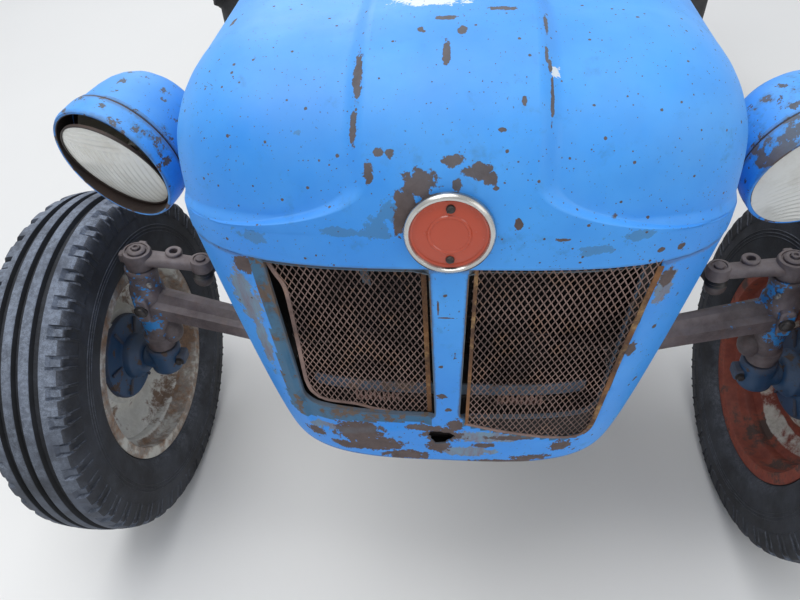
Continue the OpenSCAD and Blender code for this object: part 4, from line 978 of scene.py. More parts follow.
def openingPath(side, grow=0.0, steps=14):
    # round one opening as seen from the front, a little outside it by grow
    low, high = nose["openZ"] - grow, openTop + grow
    corner = [nose["openZ"] + nose["cornerR"] * (1 - cos(radians(90 * k / 8))) for k in range(9)]
    outerSide = [(openEdge(z) + grow, max(z, low) if k else low) for k, z in enumerate(corner)]
    outerSide += [(openEdge(mixed(corner[-1], openTop, k / steps))
        + grow, mixed(corner[-1], high, k / steps)) for k in range(1, steps + 1)]
    innerSide = [(barEdge(mixed(openTop, nose["openZ"] + 0.012, k / steps)) - grow,
        mixed(high, nose["openZ"] + 0.012, k / steps)) for k in range(steps + 1)]
    innerSide += [(barEdge(nose["openZ"] + 0.012 * (1 - k / 3)) - grow,
        mixed(nose["openZ"] + 0.012, low, k / 3)) for k in range(1, 4)]
    bottom = [(mixed(innerSide[-1][0], outerSide[0][0], k / 8), low) for k in range(1, 8)]
    top = [(mixed(outerSide[-1][0], innerSide[0][0], k / 10), high) for k in range(1, 10)]
    flat = outerSide + top + innerSide + bottom
    return [facePoint(side * x, z) for x, z in flat]


def shellPaint(at, inner):
    # painted shade: the inner side of the sheet and the deep part of the right seat under the mesh panel
    # are near black
    if inner:
        return paintedShadeInside
    if at[1] > noseY - 0.05:
        return shellBlue
    within = insideBy(seatOutlines[1 if at[0] > 0 else -1], abs(at[0]), at[2])
    if at[0] > 0 and within > 0.004:
        return paintedShadeInside
    return seatBlue if within > 0.001 else shellBlue


shellParts = [(shellShape, paintFaces(shellShape, shellPaint))]
for side in (1, -1):
    flange = [(-0.0008, 0.0006), (0.0008, 0.0006), (0.0008, -0.006), (-0.0008, -0.006)]
    shellParts.append((sweep(openingPath(side, 0.0004), flange, closed=True, up=toFront), seatBlue))

# dark plates inside close the nose against the ground and the wheels: near-black sheets that stand for the
# shade in there
plateRows = [[], []]
for z in np.linspace(0.577, 0.932, 18):
    back = min(shellBack(z) - 0.004, -0.137)
    for layer, shift in zip(plateRows, (0, 0.002)):
        layer.append([(x, frontY + back + shift, z) for x in np.linspace(0.165, shellHalf(z) - 0.006, 6)])
sidePlate = sheetOf(*plateRows)


def lowPlate(inner, outer, rear, low=0.5685):
    # a plate just above the shell's lower edge, from the face back to rear
    grids = []
    for z in (low, low + 0.002):
        rows = []
        for x in np.linspace(inner, outer, 8):
            front = noseY - faceDepth(x, z, 0.005)
            rows.append([(x, mixed(front, rear, t), z) for t in np.linspace(0, 1, 4)])
        grids.append(rows)
    return sheetOf(*grids)


closers = [sidePlate, lowPlate(0.165, 0.262, frontY - 0.139, 0.577),
    lowPlate(0.104, 0.199, frontY - 0.296)]
shellParts += coated(paintedShadeInside, bothSides(closers) + [lowPlate(-0.056, 0.056, frontY - 0.296)])
shellPiece = makePiece("grilleShellSkin", shellParts, "bonnet", "grille_shell", sharp=50)


def cutAway(piece, shape):
    # takes a shape out of a piece and keeps the result as its mesh
    mesh = bpy.data.meshes.new("cutter")
    mesh.from_pydata(np.asarray(shape[0]).tolist(), [], shape[1])
    cutter = bpy.data.objects.new("cutter", mesh)
    bpy.context.scene.collection.objects.link(cutter)
    modifier = piece.modifiers.new("cut", "BOOLEAN")
    modifier.operation, modifier.object, modifier.solver = "DIFFERENCE", cutter, "EXACT"
    graph = bpy.context.evaluated_depsgraph_get()
    cut = bpy.data.meshes.new_from_object(piece.evaluated_get(graph))
    piece.modifiers.remove(modifier)
    old = piece.data
    piece.data = cut
    bpy.data.objects.remove(cutter)
    bpy.data.meshes.remove(mesh)
    bpy.data.meshes.remove(old)


crankHole = [(0.026 + 0.004 * sin(3 * a + 0.6) + 0.0016 * sin(9 * a), a) for a in around(36)]
crankCutter = []
for y in (noseY - noseDepth - 0.03, noseY - noseDepth + 0.05):
    crankCutter.append([(0.68 * r * cos(a) - 0.009, y, 0.624 + 0.6 * r * sin(a)) for r, a in crankHole])
count = len(crankHole)
crankFaces = [tuple(range(count)), tuple(reversed(range(count, 2 * count)))] + loopFaces(2, count)
cutAway(shellPiece, (np.array(crankCutter[0] + crankCutter[1]), crankFaces))
print("grille shell ready")

# diamond mesh in two panels: one lies on its seat, the other has shrunk away from the frame and sunk in
meshLook = {"wide": 0.0086, "tall": 0.0152, "strand": 0.00085, "deep": 0.0007}
panelOutlines = {1: [(23.5, 654.5), (75, 640.5), (135, 622.5), (177, 612.5), (196, 618), (205.5, 636),
    (210, 700), (216.5, 780), (223, 860), (231, 953), (26.5, 953)],
    -1: [(21, 656), (67, 662), (103, 667), (129, 673), (167, 673), (183, 678), (194, 690), (198.5, 710),
    (199, 731), (198, 787), (197, 848), (197.5, 893), (206, 917), (218, 952), (25.5, 952)]}


def meshPoint(side, x, z):
    inside = insideBy(panelOutlines[side], x, z)
    flat = mixed(faceDepth(0.01, z), faceDepth(0.2, z), min(1.0, (x / 0.21) ** 2))
    depth = mixed(faceDepth(x, z), flat, 0.3 * ease((z - 0.66) / 0.04))
    sunk = ease(inside / 0.05)
    behind = 0.0028 + 0.006 * sunk * ease((z - 0.662) / 0.03) if side > 0 else 0.0135 + 0.003 * sunk
    return (side * x, noseY - depth + behind + 0.0008 * sin(x * 47 + z * 21), z)


def meshPanel(side):
    # zigzag strands that meet at the corners of the diamonds
    shapes = []
    half, step = meshLook["wide"] / 2, meshLook["tall"] / 2
    for k in range(0, 60):
        line = []
        for j in range(int(0.355 / step)):
            z = 0.606 + j * step
            x = 0.02 + k * half + half / 2 * (0.93 if (j + k) % 2 else -0.93)
            inside = insideBy(panelOutlines[side], x, z) > 0
            if inside:
                line.append(meshPoint(side, x, z))
            if line and (not inside or j == int(0.355 / step) - 1):
                if len(line) > 1:
                    shapes.append(sweep(line, circle(meshLook["strand"], 4, meshLook["deep"]), up=toFront))
                line = []
    return merged(shapes)


def edgeStrip(side, places, wide=0.003, lift=0.001):
    path = [np.array(meshPoint(side, x, z)) - (0, lift, 0) for x, z in places]
    section = [(wide, -0.0008), (wide, 0.0008), (-wide, 0.0008), (-wide, -0.0008)][::-1]
    return sweep(smoothPath(path, 4), section, up=toFront)


meshParts = []
for side in (1, -1):
    outline = np.array(panelOutlines[side]) / 1000
    edge = [(x - 0.002, z) for x, z in outline[4 if side > 0 else 5:-1]]
    if side > 0:
        edge[-1] = (0.2282, 0.939)
    foot = [(x, z + 0.002) for x, z in outline[:6 if side > 0 else 7]]
    nearBar = [(mixed(outline[0][0], outline[-1][0], t) + 0.0035, mixed(outline[0][1], outline[-1][1], t))
        for t in np.linspace(0, 1, 8)]
    meshParts += [(meshPanel(side), meshMetal), (edgeStrip(side, edge, 0.0032 if side > 0 else 0.0026),
        orangeRust if side > 0 else meshMetal), (edgeStrip(side, foot, 0.0022), meshMetal),
        (edgeStrip(side, nearBar, 0.0022 if side > 0 else 0.003), orangeRust)]

# behind the mesh: a cross bar, a bracket and two rusty springs on a rod
crossBar = sweep([(x, noseY - faceDepth(x, 0.7) + 0.034, 0.694) for x in np.linspace(-0.19, 0.19, 15)],
    [(-0.0012, -0.011), (-0.0012, 0.011), (0.0012, 0.011), (0.0012, -0.011)], up=toTop)
bracket = bar((-0.103, frontY - 0.322, 0.945), (-0.099, frontY - 0.315, 0.885), 0.012, 0.002)
springRod = tube([(-0.15, frontY - 0.312, 0.664), (0.15, frontY - 0.312, 0.664)], 0.003, 10)
coil = [(0.066 + 0.066 * k / 160, frontY - 0.312 + 0.0085 * sin(k * pi / 8), 0.664
    + 0.0085 * cos(k * pi / 8)) for k in range(161)]
springs = bothSides([tube(coil, 0.0017, 6)])
# the rod behind the mesh is near black: painted shade
meshParts += [(crossBar, seatBlue), (bracket, seatBlue), (springRod, paintedShadeInside)] + coated(springRust,
    springs)
makePiece("grilleMeshPanels", meshParts, "bonnet", "grille_mesh", sharp=60)
print("mesh ready")

# badge: an enamel dish in a chipped chrome ring, with its two screws
badge = {"radius": 0.048, "lean": 5.6, "up": 0.049}
browRound = nose["browRound"]
badgeSeat = noseDepth * (1 - (badge["up"] / (nose["topZ"] - seamZ)) ** browRound) ** (1 / browRound)
badgeAt = (0, noseY - badgeSeat - 0.0005, seamZ + badge["up"])
badgeTurn = turned("X", 90 - badge["lean"])
badgeR = badge["radius"]
rimProfile = [(badgeR - 0.0075, 0.0), (badgeR, 0.0), (badgeR, 0.004), (badgeR - 0.0012, 0.0068),
    (badgeR - 0.0034, 0.0082), (badgeR - 0.0058, 0.0078), (badgeR - 0.0075, 0.0055)]
dish = [(0, 0.0052), (0.012, 0.005), (0.026, 0.0044), (0.034, 0.0036), (badgeR - 0.0095, 0.0028),
    (badgeR - 0.007, 0.0044), (badgeR - 0.007, 0.001), (0, 0.001)]
badgeStep = [(0.0195, 0.0046), (0.0205, 0.0056), (0.0225, 0.0056), (0.0235, 0.0044)]
screw = lathe([(0, 0.0034), (0.0036, 0.0028), (0.0048, 0.001), (0.0048, -0.001), (0, -0.001)], 20)
slot = block((-0.0042, -0.0006, 0.0026), (0.0042, 0.0006, 0.0037))
badgeParts = [(place(ring(rimProfile, 64), badgeAt, badgeTurn), chrome),
    (place(lathe(dish, 64), badgeAt, badgeTurn), enamel),
    (place(ring(badgeStep, 64), badgeAt, badgeTurn), enamel)]
for y in (0.0305, -0.0305):
    local = Vector((0.001, y, 0.0042))
    spot = Vector(badgeAt) + badgeTurn.to_3x3() @ local
    badgeParts.append((place(screw, spot, badgeTurn), screwMetal))
    badgeParts.append((place(slot, spot, badgeTurn @ turned("Z", 35 if y > 0 else -20)), blackTrim))
makePiece("badgeDish", badgeParts, "bonnet", "badge", sharp=40)

# head lamps: pod, hooded rim, fluted glass, stalk
lamp = {"span": 0.92, "reach": 0.15, "turn": 18, "dip": 9, "radius": 0.09, "depth": 0.11, "lip": 0.007}
lampAt = Vector((lamp["span"] / 2, frontY - lamp["reach"], seamZ + 0.004))
lampTurn = turned("Z", lamp["turn"]) @ turned("X", 90 + lamp["dip"])
lampR, lampDeep = lamp["radius"], lamp["depth"]


def hoodRing(high, low):
    # the rim's edge stands out by high at the top (local +Y is up) and by low at the bottom
    steps = 72
    outer = [(lampR - 0.0005, -0.026), (lampR, -0.02), (lampR, 0.0), (lampR - 0.0005, 0.5),
        (lampR - 0.0022, 1.0), (lampR - 0.005, 1.0), (lampR - 0.0062, 0.9), (lampR - lamp["lip"], -0.012),
        (lampR - 0.003, -0.026)]
    points = []
    for k in range(steps):
        a = 2 * pi * k / steps
        peak = mixed(low, high, ease(0.5 + 0.6 * sin(a)))
        for out, h in outer:
            z = h * peak if h >= 0.5 else h
            points.append(polar(out, a, min(z, 0.0235)))
    paints = [lampInside if i in (5, 6, 7) else bluePods for k in range(steps) for i in range(len(outer))]
    return (np.array(points), loopFaces(steps, len(outer), closed=True)), paints


podProfile = [(0, -lampDeep - 0.034), (0.014, -lampDeep - 0.0335), (0.03, -lampDeep - 0.0315),
    (0.044, -lampDeep - 0.027), (0.057, -lampDeep - 0.0185), (0.068, -lampDeep - 0.0075),
    (0.0765, 0.008 - lampDeep), (0.081, 0.022 - lampDeep), (0.0838, 0.04 - lampDeep), (0.0852, -0.05),
    (0.0856, -0.037), (0.0875, -0.035), (0.0875, -0.0305), (0.0845, -0.029), (0.0835, -0.029),
    (0.0835, -0.05), (0.0, -0.07)]
otherAt = lampAt + Vector((0, -0.01, -0.006))
otherTurn = turned("Z", lamp["turn"] - 9) @ turned("X", 90 + lamp["dip"])
pod = lathe(podProfile, 64)
lampParts = [(pod, paintFaces(pod, lambda at, inner: lampInside if hypot(at[0], at[1]) < 0.0838
    and at[2] > -0.075 else bluePods))]
hoods = [place(hoodRing(0.013, 0.001)[0], otherAt, otherTurn),
    mirrored(place(hoodRing(0.007, 0.009)[0], lampAt, lampTurn))]
hoodPaint = hoodRing(0.01, 0.01)[1]
seal = [(lampR - 0.0035, -0.03), (lampR - 0.001, -0.0285), (lampR - 0.001, -0.0262),
    (lampR - 0.0035, -0.025)]
lampParts.append((ring(seal, 64), radiatorBlack))
bowl = [(0.008, -0.062), (0.03, -0.056), (0.052, -0.044), (0.066, -0.032), (0.0735, -0.026),
    (0.075, -0.026), (0.075, -0.034), (0.06, -0.05), (0.008, -0.066)]
lampParts.append((ring(bowl, 56), reflector))
bulb = [(0, -0.03), (0.006, -0.032), (0.009, -0.038), (0.009, -0.046), (0.006, -0.054), (0.006, -0.064),
    (0, -0.064)]
lampParts.append((lathe(bulb, 24), chrome))
clampAt = [(place(bolt((0, -lampR - 0.0005, -0.012), toFront, 0.007, 0.005)), screwMetal),
    (place(block((-0.006, -lampR - 0.003, -0.02), (0.006, -lampR + 0.001, -0.004))), bluePods)]
lampParts += clampAt


def atLamp(parts):
    out = []
    for shape, material in parts:
        out += [(place(shape, otherAt, otherTurn), material),
            (mirrored(place(shape, lampAt, lampTurn)), material)]
    return out


stalkRoot = Vector((nose["half"] + 0.008, lampAt.y + lampDeep + 0.01, seamZ + 0.02))
stalkEnd = lampAt + Vector((-0.045, lampDeep - 0.01, 0.015))
stalk = tube([stalkEnd, (stalkEnd + stalkRoot) / 2 + Vector((0, 0.004, -0.004)), stalkRoot], 0.0118, 16,
    bend=5)
plate = [(-0.0042, -0.026), (0.0042, -0.026), (0.0042, 0.026), (-0.0042, 0.026)]
foot = sweep([stalkRoot + Vector((-0.0035, 0, -0.014)), stalkRoot + Vector((-0.0035, 0, 0.014))], plate,
    up=toBack)
collar = rod(stalkRoot, stalkRoot + (stalkEnd - stalkRoot) * 0.16, 0.0175, 20, 0.0135)
nuts = [bolt(stalkRoot + Vector((0.001, y, 0)), toLeft, 0.011, 0.006) for y in (-0.019, 0.019)]
stalkParts = []
for shape in (stalk, foot, collar, *nuts):
    stalkParts += [(shape, bluePods), (mirrored(shape), bluePods)]
makePiece("headLampPods", atLamp(lampParts) + [(hood, hoodPaint) for hood in hoods] + stalkParts, "bonnet",
    "headlamps", sharp=38)


def flutedGlass(seat, fluteOf):
    # a shallow dome with raised flutes
    rings, steps = 34, 132
    points = [(0, 0, 0.01)]
    for i in range(1, rings + 1):
        out = seat * i / rings
        for k in range(steps):
            x, y = out * cos(2 * pi * k / steps), out * sin(2 * pi * k / steps)
            crown = 0.0095 * (1 - (out / seat) ** 2)
            points.append((x, y, crown + fluteOf(x, y) * ease((seat - out) / 0.008)))
    faces = [(0, 1 + k, 1 + (k + 1) % steps) for k in range(steps)] + loopFaces(rings, steps, first=1)
    base = 1 + (rings - 1) * steps
    faces.append(tuple(base + k for k in range(steps - 1, -1, -1)))
    return np.array(points), faces


def uprightFlutes(x, y):
    return 0.0009 * cos(x / 0.0092 * 2 * pi) if y < 0.04 else 0.0008 * cos(y / 0.0085 * 2 * pi)


def levelFlutes(x, y):
    return 0.0009 * cos((y + 9 * x * x) / 0.0095 * 2 * pi) * ease((0.02 - y) / 0.03)


# one glass has slipped out at its top and leans forward in its ring, the other fills its rim
leanTurn, leanAt = turned("X", 9), (0, -0.004, 0.0025)
leanRing = [(0.0752, -0.0022), (0.0758, 0.0016), (0.0778, 0.0012), (0.0778, -0.0028)]
leaning = place(place(flutedGlass(0.0755, uprightFlutes), leanAt, leanTurn), lampAt, lampTurn)
leaningRing = place(place(ring(leanRing, 64), leanAt, leanTurn), lampAt, lampTurn)
filling = place(place(flutedGlass(0.0842, levelFlutes), (0, -0.001, 0.0022)), otherAt, otherTurn)
glassParts = [(mirrored(leaning), lampLens), (mirrored(leaningRing), lampInside), (filling, lampLens)]
makePiece("headLampGlasses", glassParts, "bonnet", "lamp_glasses", sharp=60)
print("badge and lamps ready")

# front wheels, turned round their own axle: +Z points away from the tractor's middle
wheelFront = {"diameter": 730, "seat": 203, "rimHalf": 56, "camber": 1.5, "periods": 44, "groove": 10,
    "notch": 11}


def frontTyreShape():
    # one period is a long block with a bar below it, a notch, a small low block and a notch
    top, seat, bead = wheelFront["diameter"] / 2, wheelFront["seat"], wheelFront["rimHalf"]
    deep = wheelFront["groove"]
    crown = [0, 4.4, 5.6, 6.4, 7.4, 16, 23.2, 24.2, 25, 26.2, 37.8, 39, 39.8, 41, 46, 51, 53, 60, 64.5,
        67.8]
    drop = [deep, deep, 4, 0.8, 0, 0, 0, 0.8, 4, deep, deep, 4, 0.8, 0, 0, 0, 0, 0, 0.2, 1]
    side = [(x, top - x * x / 600 - fall, 1 if x > 52 else 0, 0) for x, fall in zip(crown, drop)]
    # distance from the middle, radius, share of the notch, share of the bar
    side += [(69.2, 355.4, 1, 0.1), (70.6, 352.6, 1, 0.4), (72.0, 347.0, 0.7, 0.9), (73.6, 339, 0.3, 1),
        (75.2, 329, 0, 1), (76.6, 319, 0, 1), (77.4, 314.5, 0, 0.8), (77.8, 311.5, 0, 0),
        (79.2, 298, 0, 0), (79.7, 290, 0, 0), (80.9, 288.8, 0, 0), (79.7, 287.6, 0, 0),
        (79.8, 283.4, 0, 0), (80.9, 282.2, 0, 0), (79.7, 281, 0, 0), (79.5, 276.6, 0, 0),
        (80.5, 275.4, 0, 0), (79.2, 274.2, 0, 0), (77.8, 261, 0, 0), (75.6, 248, 0, 0), (72.4, 239, 0, 0),
        (68, 230.5, 0, 0), (62, 225.2, 0, 0), (bead + 0.5, 223, 0, 0), (bead, seat, 0, 0)]
    profile = [(-x, radius, n, b) for x, radius, n, b in reversed(side[1:])] + side
    phases = [(0, 0), (0.25, 0), (0.5, 0), (0.525, 1), (0.605, 1), (0.63, 2), (0.76, 2), (0.875, 2),
        (0.9, 1), (0.975, 1)]
    points, faces, picks, n = [], [], [], len(profile)
    for period in range(wheelFront["periods"]):
        for share, kind in phases:
            for x, radius, notch, rib in profile:
                # the shoulders are half a period apart
                a = 2 * pi * (period + share + (0.5 if x < 0 else 0)) / wheelFront["periods"]
                cut = notch * (0, wheelFront["notch"], 6)[kind]
                out = rib * (2.2, -3.2, 0.8)[kind] - notch * (0, 5.5, 3.6)[kind]
                points.append(polar(radius - cut, a, x + copysign(out, x)))
    steps = wheelFront["periods"] * len(phases)
    for k in range(steps):
        a, b = k * n, ((k + 1) % steps) * n
        for i in range(n - 1):
            faces.append((a + i, b + i, b + i + 1, a + i + 1))
            x = abs(profile[i][0] + profile[i + 1][0]) / 2
            radius = min(profile[i][1] + profile[i][0] ** 2 / 600, profile[i + 1][1]
                + profile[i + 1][0] ** 2 / 600)
            # tread tops: dusty rubber with painted sky light; grooves: darker rubber as painted shade
            picks.append(treadDustAndSkyLight if radius > top - 1.3 and x < 69
                else (grooveShadeRubber if x < 50 else rubber))
        faces.append((a + n - 1, b + n - 1, b, a))
        picks.append(rubber)
    return (np.array(points), faces), picks


wheelAt = middleOf("front_tyre_left")
wheelTurn = turned("Y", 90 + wheelFront["camber"])


def onFrontWheel(name, parts, node, sharp=35):
    # drawn in millimetres once, the right one mirrored
    for side in ("left", "right"):
        placed = []
        for (points, faces), material in parts[side] if isinstance(parts, dict) else parts:
            shape = place((np.asarray(points) / 1000, faces), wheelAt, wheelTurn)
            placed.append((shape if side == "left" else mirrored(shape), material))
        makePiece(f"{name}_{side}", placed, f"front_wheel_{side}", f"{node}_{side}", sharp)


onFrontWheel("frontTyreTread", [frontTyreShape()], "front_tyre", 30)

rimHalfProfile = [(222, 59), (220, 57.3), (214, 56.2), (203, 56), (203, 37), (201, 33), (189, 26),
    (187, 22)]
rimInsideProfile = [(182, 20), (184, 24.5), (196, 31.5), (198, 35), (198, 57), (200, 60), (210, 61.2),
    (219, 61.8), (222, 61)]


def rimRing(outside, inside, steps):
    halfBack = [(a, -b) for a, b in reversed(outside)] + [(a, -b) for a, b in reversed(inside)]
    return ring(outside + halfBack + inside, steps)


def dishedDisc(profile, thick, steps=96):
    return ring(profile + [(a, b + thick) for a, b in reversed(profile)], steps)


frontDisc = [(51, 12), (84, 12), (92, 12.4), (97, 15), (101, 15.4), (106, 14), (112, 17.5), (119, 22),
    (128, 24.5), (137, 23.4), (150, 17), (166, 6.5), (178, -2), (184, -6)]
rimParts = {}
for side, paint, under in (("left", redRim, creamRim), ("right", creamRim, rustyMetal)):
    bosses = [place(lathe([(0, 0), (9.5, 0), (9.5, -2), (7.5, -4.5), (0, -5)][::-1], 20),
        polar(88, a, 12.4)) for a in around(6)]
    slots = [place(lathe([(0, 0.4), (6, 0.4), (6, -0.6), (0, -0.6)][::-1], 18), polar(150, a, 17))
        for a in around(4, 0.5)]
    nuts = boltCircle((0, 0, 18), toTop, 63, 6, 17, 20)
    valve = drumAt([(0, 0), (6, 0), (5.4, 4), (4, 8), (4, 34), (3.2, 36), (0, 36)], (140, 96, 10),
        (-0.5, -0.35, 0.9), 14)
    rimParts[side] = [(rimRing(rimHalfProfile, rimInsideProfile, 112), paint),
        (dishedDisc(frontDisc, 6, 112), paint), (merged(bosses), paint), (merged(slots), under),
        (nuts, screwMetal), (valve, blackTrim)]
onFrontWheel("frontRimDisc", rimParts, "front_rim", 40)

hubProfile = [(20.1, -40), (34, -40), (38, -37), (40, -30), (48, -24), (50, -20), (50, -8), (56, -4.6),
    (88, -2.2), (93, 0), (94, 3), (94, 11.5), (76, 11.8), (50, 12), (50, 30), (47, 34), (37, 36), (36, 52),
    (33, 60), (27, 65), (0, 67)]
hubDrum = lathe(hubProfile, 64)
hubStuds = merged([rod(polar(28, a, 52), polar(28, a, 66), 4, 8) for a in (0.6, 2.7, 4.8)])
hubRibs = merged([place(slab([(52, -3), (88, -3), (88, 3), (52, 3)], -8, -2.4, "Z", 1),
    turn=turned("Z", 60 * k + 12)) for k in range(6)])
onFrontWheel("frontHubDrum", [(hubDrum, darkBlue), (hubStuds, screwMetal), (hubRibs, darkBlue)],
    "front_hub", 40)
print("front wheels ready")


# machine pieces are drawn in millimetres: x from the middle, y from the front axle, z from the ground
def fromAxle(parts):
    return [((np.asarray(points, float) / 1000 + (0, frontY, 0), faces), material)
        for (points, faces), material in parts]


def bothOf(parts):
    return parts + [(mirrored(shape), material) for shape, material in parts]


def machine(name, parts, body="chassis", node=(), sharp=38):
    return makePiece(name, fromAxle(parts), body, node, sharp)


def sidePiece(name, parts, node, body=None, sharp=38):
    # one piece on each side; left is drawn, right is its mirror image
    for side in ("left", "right"):
        own = parts if side == "left" else [(mirrored(shape), material) for shape, material in parts]
        machine(f"{name}_{side}", own, (body or node) + f"_{side}", f"{node}_{side}" if body is None
            else (), sharp)


# kingpins: the knuckle turns in a leaning tube at the end of the axle
kingpin = {"at": (625, 0, 367.13), "lean": 7}
kingTurn = turned("Y", -kingpin["lean"])


def onKingpin(parts):
    return [(place(shape, kingpin["at"], kingTurn), material) for shape, material in parts]


def lerpPoint(a, b, t):
    return tuple(p + (q - p) * t for p, q in zip(a, b))


armRoute = [(160, -95, 520), (225, -83, 521), (330, -58, 526), (460, -30, 535), (560, -9, 542),
    (604, 0, 544)]


def armSection(t):
    tall = 29 - 3 * sin(pi * t) ** 2
    wide = 21 + 11 * t
    return [(-wide, -tall * 0.8), (-wide, tall * 0.25), (-wide * 0.55, tall * 0.45), (-wide * 0.22, tall),
        (wide * 0.22, tall), (wide * 0.55, tall * 0.45), (wide, tall * 0.25), (wide, -tall * 0.8),
        (wide * 0.8, -tall), (-wide * 0.8, -tall)]


tubeProfile = [(0, 42.8), (24, 42.8), (28.5, 45), (29, 60), (31.5, 63), (31.5, 79), (28.5, 82), (27.6, 90),
    (27.6, 138), (32, 143), (33, 150), (33.5, 200), (32.5, 213), (28.4, 219), (28.2, 255), (30.5, 258),
    (30.5, 265), (29, 267.6), (0, 267.6)]
elbow = ball((-25, 4, 84), 25, 24, 1.25)
clampLug = slab(roundedRect((-13, 152), (13, 212), 8), -44, -24, "Y", 3)
clampHead = drumAt([(0, 0), (13.5, 0), (13.5, 4), (11, 4.5), (10, 8), (6, 10.5), (0, 11)], (0, -43, 184),
    toFront, 28)
greaser = drumAt([(0, 0), (5, 0), (5, 4), (3, 5), (3, 9), (4, 11), (0, 13)], (-18, -22, 240),
    (-0.6, -0.7, 0.2), 10)
axleParts = bothOf([(sweep(smoothPath(armRoute, 4), armSection), axleMetal),
    (softBlock((200, -126, 478), (262, -64, 562), 7, "X", 3), axleMetal),
    (boltsAt([(214, -104, 562), (248, -86, 562)], toTop, 20), screwMetal),
    (boltsAt([(216, -126, 505), (216, -126, 538), (246, -126, 520)], toFront, 17), screwMetal)]
    + onKingpin([(lathe(tubeProfile, 56), axleMetal), (elbow, axleMetal), (clampLug, axleMetal),
    (clampHead, screwMetal), (greaser, bareSteel)]))
axleParts += [(softBlock((-220, -119, 485), (220, -71, 555), 8, "X", 3), axleMetal),
    (bolt((0, -158, 520), toFront, 34, 16), screwMetal)]
machine("frontAxleBeam", axleParts, node="axle_beam", sharp=34)

steerArm = [(0, 0, 286), (-22, 0, 286.5), (-60, 0, 287), (-96, 0, 286), (-120, 0, 286)]


def steerArmSection(t):
    wide, tall = 15 + 9 * (1 - t) ** 3, 9.6 + 1.2 * sin(pi * t)
    return [(wide * copysign(abs(cos(a)) ** 0.55, cos(a)), tall * copysign(abs(sin(a)) ** 0.7, sin(a)))
        for a in -around(16)]


kingNut = lathe([(0, 268.4), (25, 268.4), (26.5, 271), (26.5, 300), (24.5, 304), (20.5, 305),
    (19.8, 302.5), (17.5, 302.2), (17, 306.5), (14.5, 308.6), (9.4, 309), (9, 306), (7.5, 305.5), (7, 312),
    (4, 313.5), (3, 310), (0, 310)], 48)
eyelet = ring([(5.6, 288), (11.5, 288), (12, 300), (10.4, 305.5), (7.6, 306), (6, 302)], 32)
ballCap = drumAt([(0, 273.4), (17, 273.4), (20, 277), (20.5, 294), (18.5, 299.5), (13.5, 301), (12.6, 299),
    (9.5, 299), (9, 303), (5.5, 304.6), (0, 305)], (-120, 0, 0), toTop, 40)
boot = drumAt([(9.2, 259), (14.5, 258.4), (19.5, 261.4), (15.4, 264.6), (18.4, 268), (14, 271),
    (14.6, 273.8), (9.2, 273.8), (9.2, 259)], (-120, 0, 0), toTop, 40)
lowerBoss = lathe([(0, -34), (20, -34), (28, -32), (33, -26), (34, -12), (33.5, 18), (34.5, 24), (34, 36),
    (31, 41.6), (0, 41.6)], 48)
stub = place(lathe([(0, 0), (33, 0), (33, 10), (29, 18), (26, 34), (24, 40.6), (20, 41), (20, 118),
    (0, 118)], 40), kingpin["at"], turned("Y", 90 + wheelFront["camber"]))
armLug = place(ring([(7.5, -5), (14.5, -5), (15.5, -3.5), (15.5, 4), (14, 5.5), (8.5, 5.5), (7.5, 4.5)],
    28), (-66, 11, 297.5))
bossLugs = [softBlock((-8, 20, 275), (9, 35, 300), 5, "Z", 2),
    softBlock((20, -9, 276), (35, 8, 296), 5, "Z", 2)]
stopLug = softBlock((-46, -16, -8), (-26, 16, 20), 6, "X", 3)
knuckleParts = onKingpin([(kingNut, armMetal), (sweep(smoothPath(steerArm, 4), steerArmSection, up=toTop),
    armMetal), (eyelet, armMetal), (ballCap, armMetal), (armLug, armMetal), (bossLugs[0], armMetal),
    (bossLugs[1], armMetal), (boot, blackTrim), (lowerBoss, darkBlue), (stopLug, darkBlue),
    (rod((0, 0, 38), (0, 0, 275), 17, 24), bareSteel),
    (boltsAt([(-36, -16, 6)], toFront, 13), screwMetal)])
knuckleParts.append((stub, darkBlue))
sidePiece("steeringKnuckle", knuckleParts, "knuckle")
print("front axle ready")

# CAD nodes that keep their shape get welded corners, small rounded edges and an own material
softEdges = bpy.data.node_groups.new("softEdges", "GeometryNodeTree")
softEdges.interface.new_socket("Shape", in_out="INPUT", socket_type="NodeSocketGeometry")
softEdges.interface.new_socket("Shape", in_out="OUTPUT", socket_type="NodeSocketGeometry")
edgeNodes = softEdges.nodes
weld = edgeNodes.new("GeometryNodeMergeByDistance")
weld.inputs["Distance"].default_value = 0.00002
forget = edgeNodes.new("GeometryNodeRemoveAttribute")
forget.inputs["Name"].default_value = "custom_normal"
angle = edgeNodes.new("GeometryNodeInputMeshEdgeAngle")
gentle = edgeNodes.new("FunctionNodeCompare")
gentle.operation = "LESS_THAN"
gentle.inputs[1].default_value = radians(32)
edgeSmooth = edgeNodes.new("GeometryNodeSetShadeSmooth")
edgeSmooth.domain = "EDGE"
faceSmooth = edgeNodes.new("GeometryNodeSetShadeSmooth")
chain = [edgeNodes.new("NodeGroupInput"), weld, forget, faceSmooth, edgeSmooth,
    edgeNodes.new("NodeGroupOutput")]
for first, second in zip(chain, chain[1:]):
    softEdges.links.new(first.outputs[0], second.inputs[0])
softEdges.links.new(angle.outputs["Unsigned Angle"], gentle.inputs[0])
softEdges.links.new(gentle.outputs[0], edgeSmooth.inputs["Shade Smooth"])


def dress(names, material, bevel=0.002):
    for name in names.split():
        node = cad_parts[name]
        node.data.materials.clear()
        node.data.materials.append(material)
        node.modifiers.new("softEdges", "NODES").node_group = softEdges
        if bevel:
            edge = node.modifiers.new("edges", "BEVEL")
            edge.width, edge.segments, edge.limit_method, edge.angle_limit = bevel, 2, "ANGLE", radians(50)
            node.modifiers.new("evenShading", "WEIGHTED_NORMAL").keep_sharp = True
